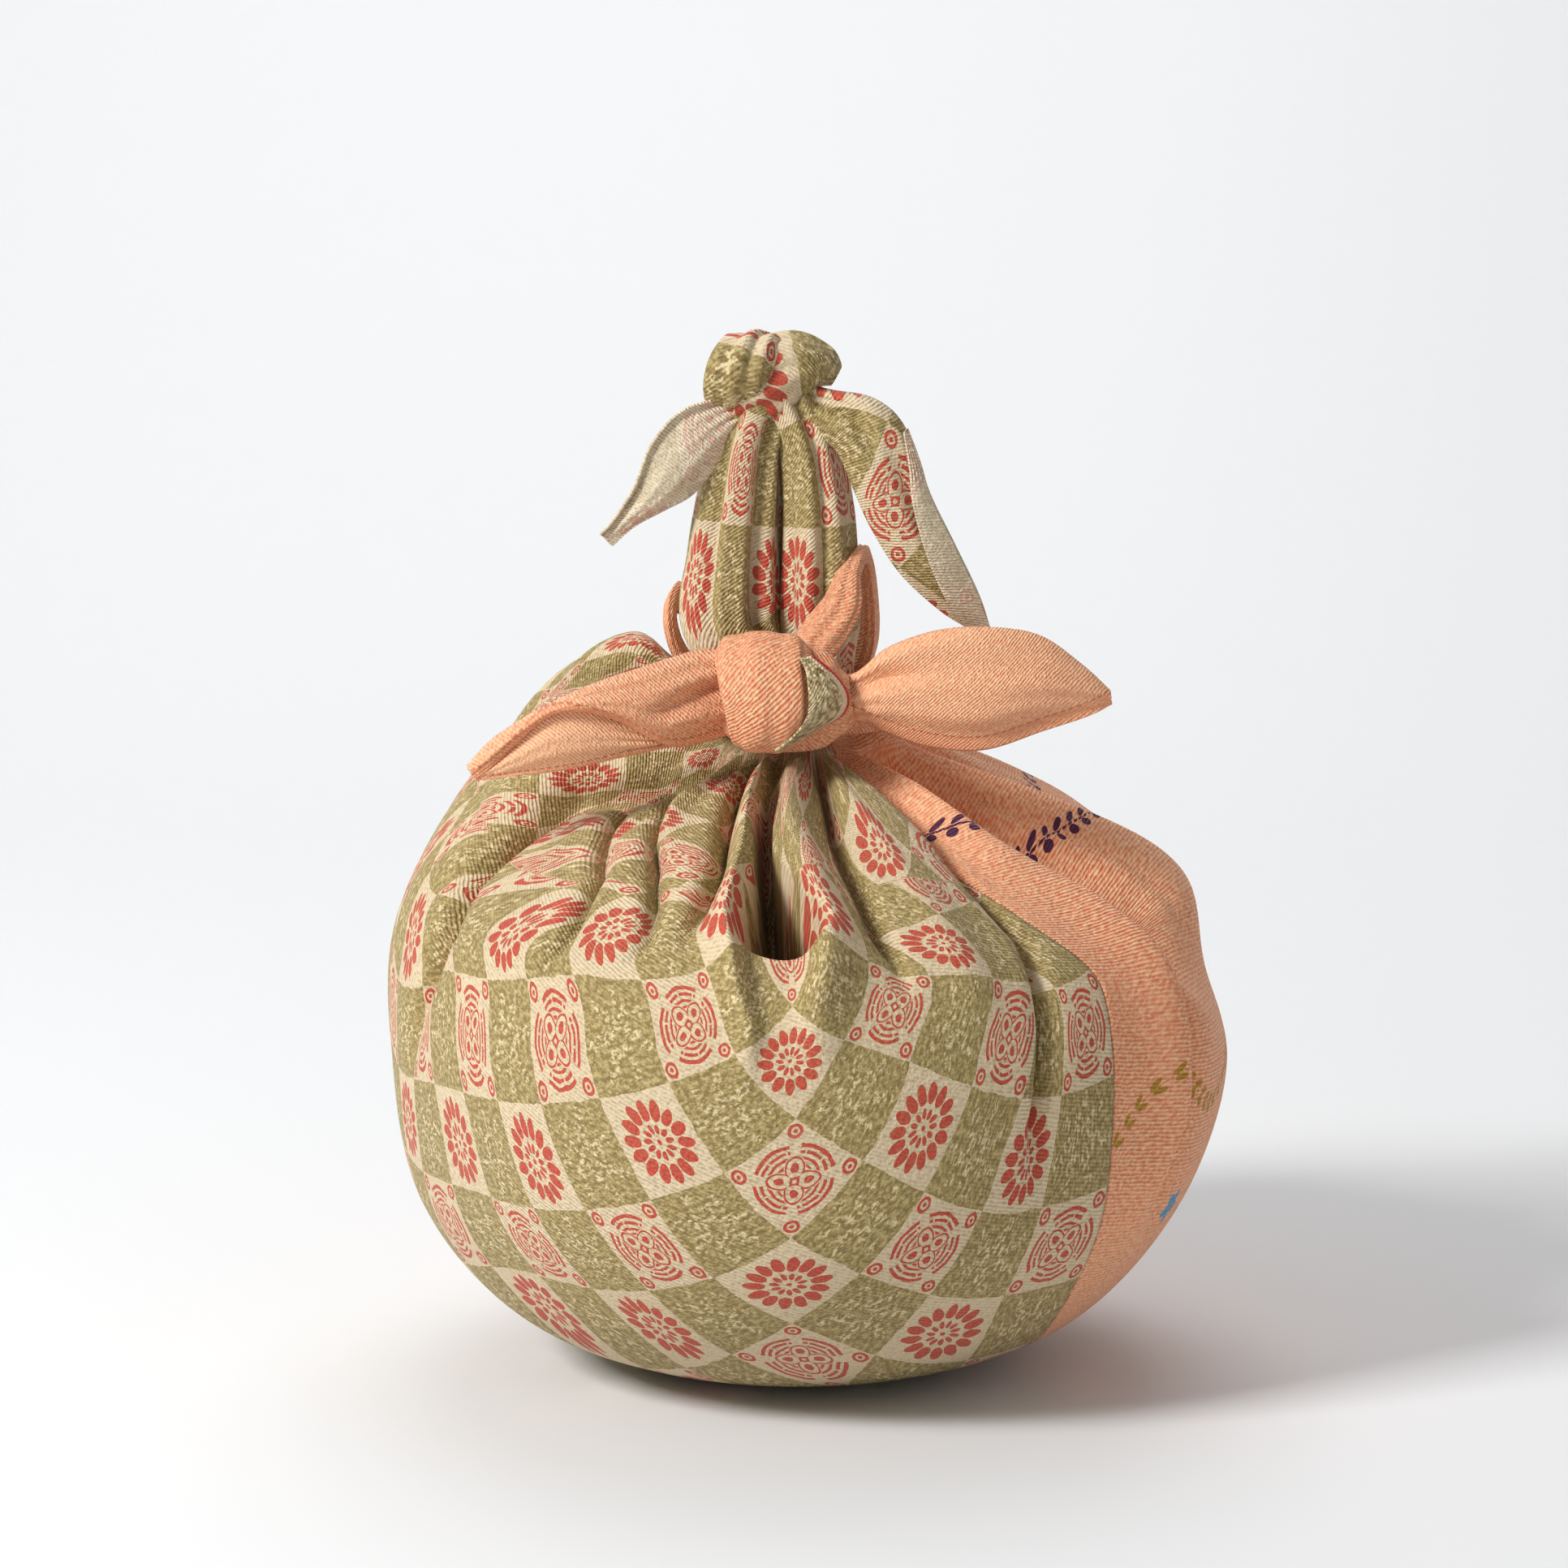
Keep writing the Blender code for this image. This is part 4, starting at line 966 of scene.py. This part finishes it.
def strand(name, rows, sides, steps, creases, wide, material, lay=None, ripple=0.05):
    """Gathered cloth along the rows: an oval section with creases at angles, its half width along wide.

    A crease is an angle, a depth, a width and how far it wanders. The print's lay is the cells round the
    strand, the cell at which they start, the height of a cell's foot and how tall a cell is."""
    ways = along(rows, np.linspace(0, 1, steps + 1))
    run = unit(np.gradient(ways[:, :3], axis=0))
    travelled = np.concatenate([[0], np.cumsum(np.linalg.norm(np.diff(ways[:, :3], axis=0), axis=1))])
    girth = 2 * math.pi * np.mean(ways[:, 3:5])

    def place(across, up):
        step = np.rint(up * steps).astype(int)
        way, ahead = ways[step], run[step]
        if wide is None:
            side = np.cross(ahead, (0.0, 0.0, 1.0))
        else:
            side = wide - ahead * (ahead @ np.array(wide, float))[:, None]
        side = unit(side)
        deep = np.cross(side, ahead)
        angle = 2 * math.pi * across
        fold = 1 + ripple * np.sin(7 * angle + 3 * up) + 0.5 * ripple * np.sin(12 * angle - 5 * up)
        for middle, depth, width, wander in creases:
            off = (angle - np.radians(middle + wander * (up - 0.5)) + math.pi) % (2 * math.pi) - math.pi
            fold = fold - depth * np.exp(-((off / math.radians(width)) ** 2))
            lip = (np.abs(off) - math.radians(1.9 * width)) / math.radians(width)
            fold = fold + 0.35 * depth * np.exp(-(lip**2))
        spread = way[:, 3:4] * (fold * np.cos(angle))[:, None] * side
        return way[:, :3] + spread + way[:, 4:5] * (fold * np.sin(angle))[:, None] * deep

    cells_round, start, foot, tall = lay or (girth / CHECK_CELL, 0.0, 0.0, CHECK_CELL)

    def cloth_place(across, up):
        far = travelled[np.rint(up * steps).astype(int)]
        return np.stack([across * cells_round + start, (far - foot) / tall + 1], -1) * CHECK_CELL * MM

    def weave_place(across, up):
        return np.stack([across * girth, travelled[np.rint(up * steps).astype(int)]], -1) * MM

    maps = {"cloth": cloth_place, "weave": weave_place}
    return moved_grid(name, sides, steps, place, maps, material, closed=True)


def tail(
    name, rows, columns, steps, material,
    print_turn=0.0, print_at=(0.0, 0.0), flute=0.25, roll=0.0, pinches=(),
):
    """A loose end of the cloth: a bowed ribbon between its upper and its lower edge.

    Each pinch is a crease: where it starts and ends across and along, its depth and its half width."""
    upper = [row[0] for row in rows]
    lower = [row[1] for row in rows]
    bows = [(row[2],) for row in rows]
    middles = (along(upper, np.linspace(0, 1, 81)) + along(lower, np.linspace(0, 1, 81))) / 2
    travelled = np.concatenate([[0], np.cumsum(np.linalg.norm(np.diff(middles, axis=0), axis=1))])

    def place(across, up):
        top, bottom, bow = along(upper, up), along(lower, up), along(bows, up)
        ripple = flute * np.sin(3 * math.pi * across + 4 * up)
        ripple = ripple + 0.4 * flute * np.sin(7 * math.pi * across - 3 * up)
        forward = bow[:, 0] * (4 * across * (1 - across) + ripple * up)
        gathered = np.exp(-up * 6) * 0.9 * np.sin(9 * math.pi * across)
        points = top + (bottom - top) * across[:, None]
        points[:, 1] -= forward + gathered
        edge = np.clip(1 - across / 0.12, 0, 1)
        points[:, 1] += roll * edge**2
        width = np.linalg.norm(bottom - top, axis=1)
        for near, far, start, end, depth, half_width in pinches:
            share = (up - start) / (end - start)
            off = (across - near - (far - near) * share) * width / half_width
            live = ramp(share, -0.1, 0.15) * (1 - ramp(share, 0.6, 1.1))
            crease = np.exp(-np.abs(off) ** 1.5) - 0.35 * np.exp(-((np.abs(off) - 1.6) ** 2))
            points[:, 1] += depth * live * crease
        return points

    def cloth_place(across, up):
        width = np.linalg.norm(along(upper, up) - along(lower, up), axis=1)
        x = np.interp(up, np.linspace(0, 1, 81), travelled)
        y = (across - 0.5) * width * 1.1
        turn = math.radians(print_turn)
        c, s = math.cos(turn), math.sin(turn)
        spot = np.stack([x * c - y * s, x * s + y * c], -1)
        return (spot + np.array(print_at) * CHECK_CELL) * MM

    def edge_place(across, up):
        width = np.linalg.norm(along(upper, up) - along(lower, up), axis=1)
        return np.stack([np.interp(up, np.linspace(0, 1, 81), travelled), (1 - across) * width], -1) * MM

    maps = {"cloth": cloth_place, "weave": cloth_place, "edge": edge_place}
    return thicken(moved_grid(name, columns, steps, place, maps, material), CLOTH, 0)


def dress(piece, node):
    """Rides a piece on the part's root body and hides the half of the cloth that it stands in for."""
    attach(piece, "root")
    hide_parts(node)


def studio():
    """The floor and backdrop, the soft lights and the camera."""
    bm = bmesh.new()
    bmesh.ops.create_grid(bm, x_segments=1, y_segments=60, size=0.5)
    for vert in bm.verts:
        run = (vert.co.y + 0.5) * 4.2
        vert.co.x *= 7
        bend, radius = 2.1, 0.9
        turn = min(max((run - bend) / radius, 0), math.pi / 2)
        vert.co.y = -1.3 + min(run, bend) + radius * math.sin(turn)
        vert.co.z = radius * (1 - math.cos(turn)) + max(run - bend - radius * math.pi / 2, 0)
    mesh = bpy.data.meshes.new("floor")
    bm.to_mesh(mesh)
    bm.free()
    mesh.shade_smooth()
    floor = placed("floor", mesh)
    paper = Finish("pale_paper")
    paper.shader.inputs["Base Color"].default_value = (0.80, 0.81, 0.82, 1)
    paper.shader.inputs["Roughness"].default_value = 0.9
    mesh.materials.append(paper.material)

    world = bpy.data.worlds.new("studio")
    world.use_nodes = True
    world.node_tree.nodes["Background"].inputs[0].default_value = (1.0, 0.99, 0.98, 1)
    world.node_tree.nodes["Background"].inputs[1].default_value = 0.30
    bpy.context.scene.world = world
    bpy.context.scene.view_settings.view_transform = "Standard"

    lamps = (
        ("key", (-1.25, -0.85, 1.15), (0, 0, 0.12), 0.5, 32.0),
        ("fill", (1.3, -1.0, 0.7), (0, 0, 0.12), 1.2, 1.0),
        ("top", (0.1, 0.5, 1.5), (0, 0, 0.12), 0.9, 3.0),
        ("backdrop", (0.0, 1.3, 1.5), (0, 1.25, 0), 1.2, 10.5),
    )
    for name, place, aimed_at, size, power in lamps:
        lamp = bpy.data.lights.new(name, "AREA")
        lamp.size = size
        lamp.energy = power
        light = placed(name, lamp)
        light.location = place
        light.rotation_euler = (Vector(aimed_at) - Vector(place)).to_track_quat("-Z", "Y").to_euler()

    elevation = math.radians(CAMERA_ELEVATION)
    lens = bpy.data.cameras.new("camera")
    lens.sensor_width = SENSOR
    lens.lens = SENSOR * CAMERA_DISTANCE / (PHOTO_PIXELS / PIXELS_PER_MM * MM)
    camera = placed("camera", lens)
    away = Vector((0, -math.cos(elevation), math.sin(elevation)))
    camera.location = Vector(CAMERA_AIM) + away * CAMERA_DISTANCE
    camera.rotation_euler = (math.pi / 2 - elevation, 0, 0)
    bpy.context.scene.camera = camera


def main():
    check = check_print("check_crepe")
    check_back = check_print("check_crepe_reverse", 0.6)
    coral = coral_crepe("coral_crepe")
    studio()

    checks = [
        wall("check_wall", SEAM_TURN - 180, SEAM_TURN, -SEAM_GAP / 2, 0.3, 300, 310, check, lay=True),
        strand("left_strand", LEFT_STRAND, 72, 90,
               ((59, 0.3, 10, -12), (114, 0.14, 8, 14), (200, 0.2, 10, 0), (300, 0.15, 10, 0)),
               SIDEWAYS, check, (7.0, 0.8, 30.0, 27.0)),
        strand("right_strand", RIGHT_STRAND, 72, 90,
               ((82, 0.2, 9, -10), (140, 0.12, 8, 12), (230, 0.2, 10, 0), (330, 0.12, 10, 0)),
               SIDEWAYS, check, (4.0, 0.09, 27.0, 26.0)),
        strand("top_knot_heart", KNOT_HEART, 64, 60,
               ((60, 0.15, 10, 60), (120, 0.12, 9, 60), (200, 0.15, 12, 0)), UPRIGHT, check),
        strand("top_knot_over", KNOT_OVER, 56, 50, ((70, 0.2, 10, 10), (115, 0.15, 9, -10)), SIDEWAYS, check),
        tail("left_top_tail", LEFT_TOP_TAIL, 40, 90, check_back, 30, (0.1, 0.2), roll=-2.5),
        tail("right_top_tail", RIGHT_TOP_TAIL, 46, 110, check, 20, (0.974, -0.055), roll=2.0,
             pinches=((0.3, 0.5, 0.05, 0.4, 3.0, 2.5),)),
        tail("right_top_fold", RIGHT_TOP_FOLD, 14, 80, check_back, 20, (0.35, 0.3), flute=0.1),
    ]
    corals = [
        wall("coral_wall", SEAM_TURN, SEAM_TURN + 180, SEAM_GAP / 2, 0.3, 260, 290,
             drawn_coral("coral_drawn"), drawn=DRAWN),
        strand("neck_ring", RING, 40, 150,
               ((20, 0.12, 12, 0), (330, 0.12, 12, 20), (180, 0.1, 10, 0)), None, coral),
        strand("right_loop", RIGHT_LOOP, 40, 90, ((90, 0.15, 12, 20),), SIDEWAYS, coral),
        strand("left_loop", LEFT_LOOP, 36, 70, ((90, 0.15, 12, 20),), SIDEWAYS, coral),
        strand("front_knot_heart", FRONT_KNOT_HEART, 64, 60,
               ((70, 0.12, 9, 20), (115, 0.1, 9, 0)), UPRIGHT, coral),
        strand("front_knot_over", FRONT_KNOT_OVER, 64, 60,
               ((60, 0.07, 8, 40), (110, 0.06, 8, -30)), SIDEWAYS, coral),
        tail("left_bow_tail", LEFT_BOW_TAIL, 50, 110, hemmed("coral_hemmed", 0.1, 2.2), flute=0.3, roll=2.0,
             pinches=((0.35, 0.6, 0.0, 0.35, 2.5, 2.5),)),
        tail("left_bow_flap", LEFT_BOW_FLAP, 40, 90, hemmed("coral_single", 0.6, 1.2), flute=0.3),
        tail("right_bow_tail", RIGHT_BOW_TAIL, 56, 120, hemmed("coral_wide_hem", 0.25, 3.6),
             flute=0.3, roll=1.5,
             pinches=((0.25, 0.36, 0.0, 0.42, 3.5, 2.6), (0.75, 0.6, 0.0, 0.3, 1.5, 2.0))),
        tail("knot_tab", KNOT_TAB, 24, 60, check_tab("check_tab"), flute=0.1),
    ]
    for piece in checks:
        dress(piece, "check_panel")
    for piece in corals:
        dress(piece, "coral_panel")
    checks + corals


main()
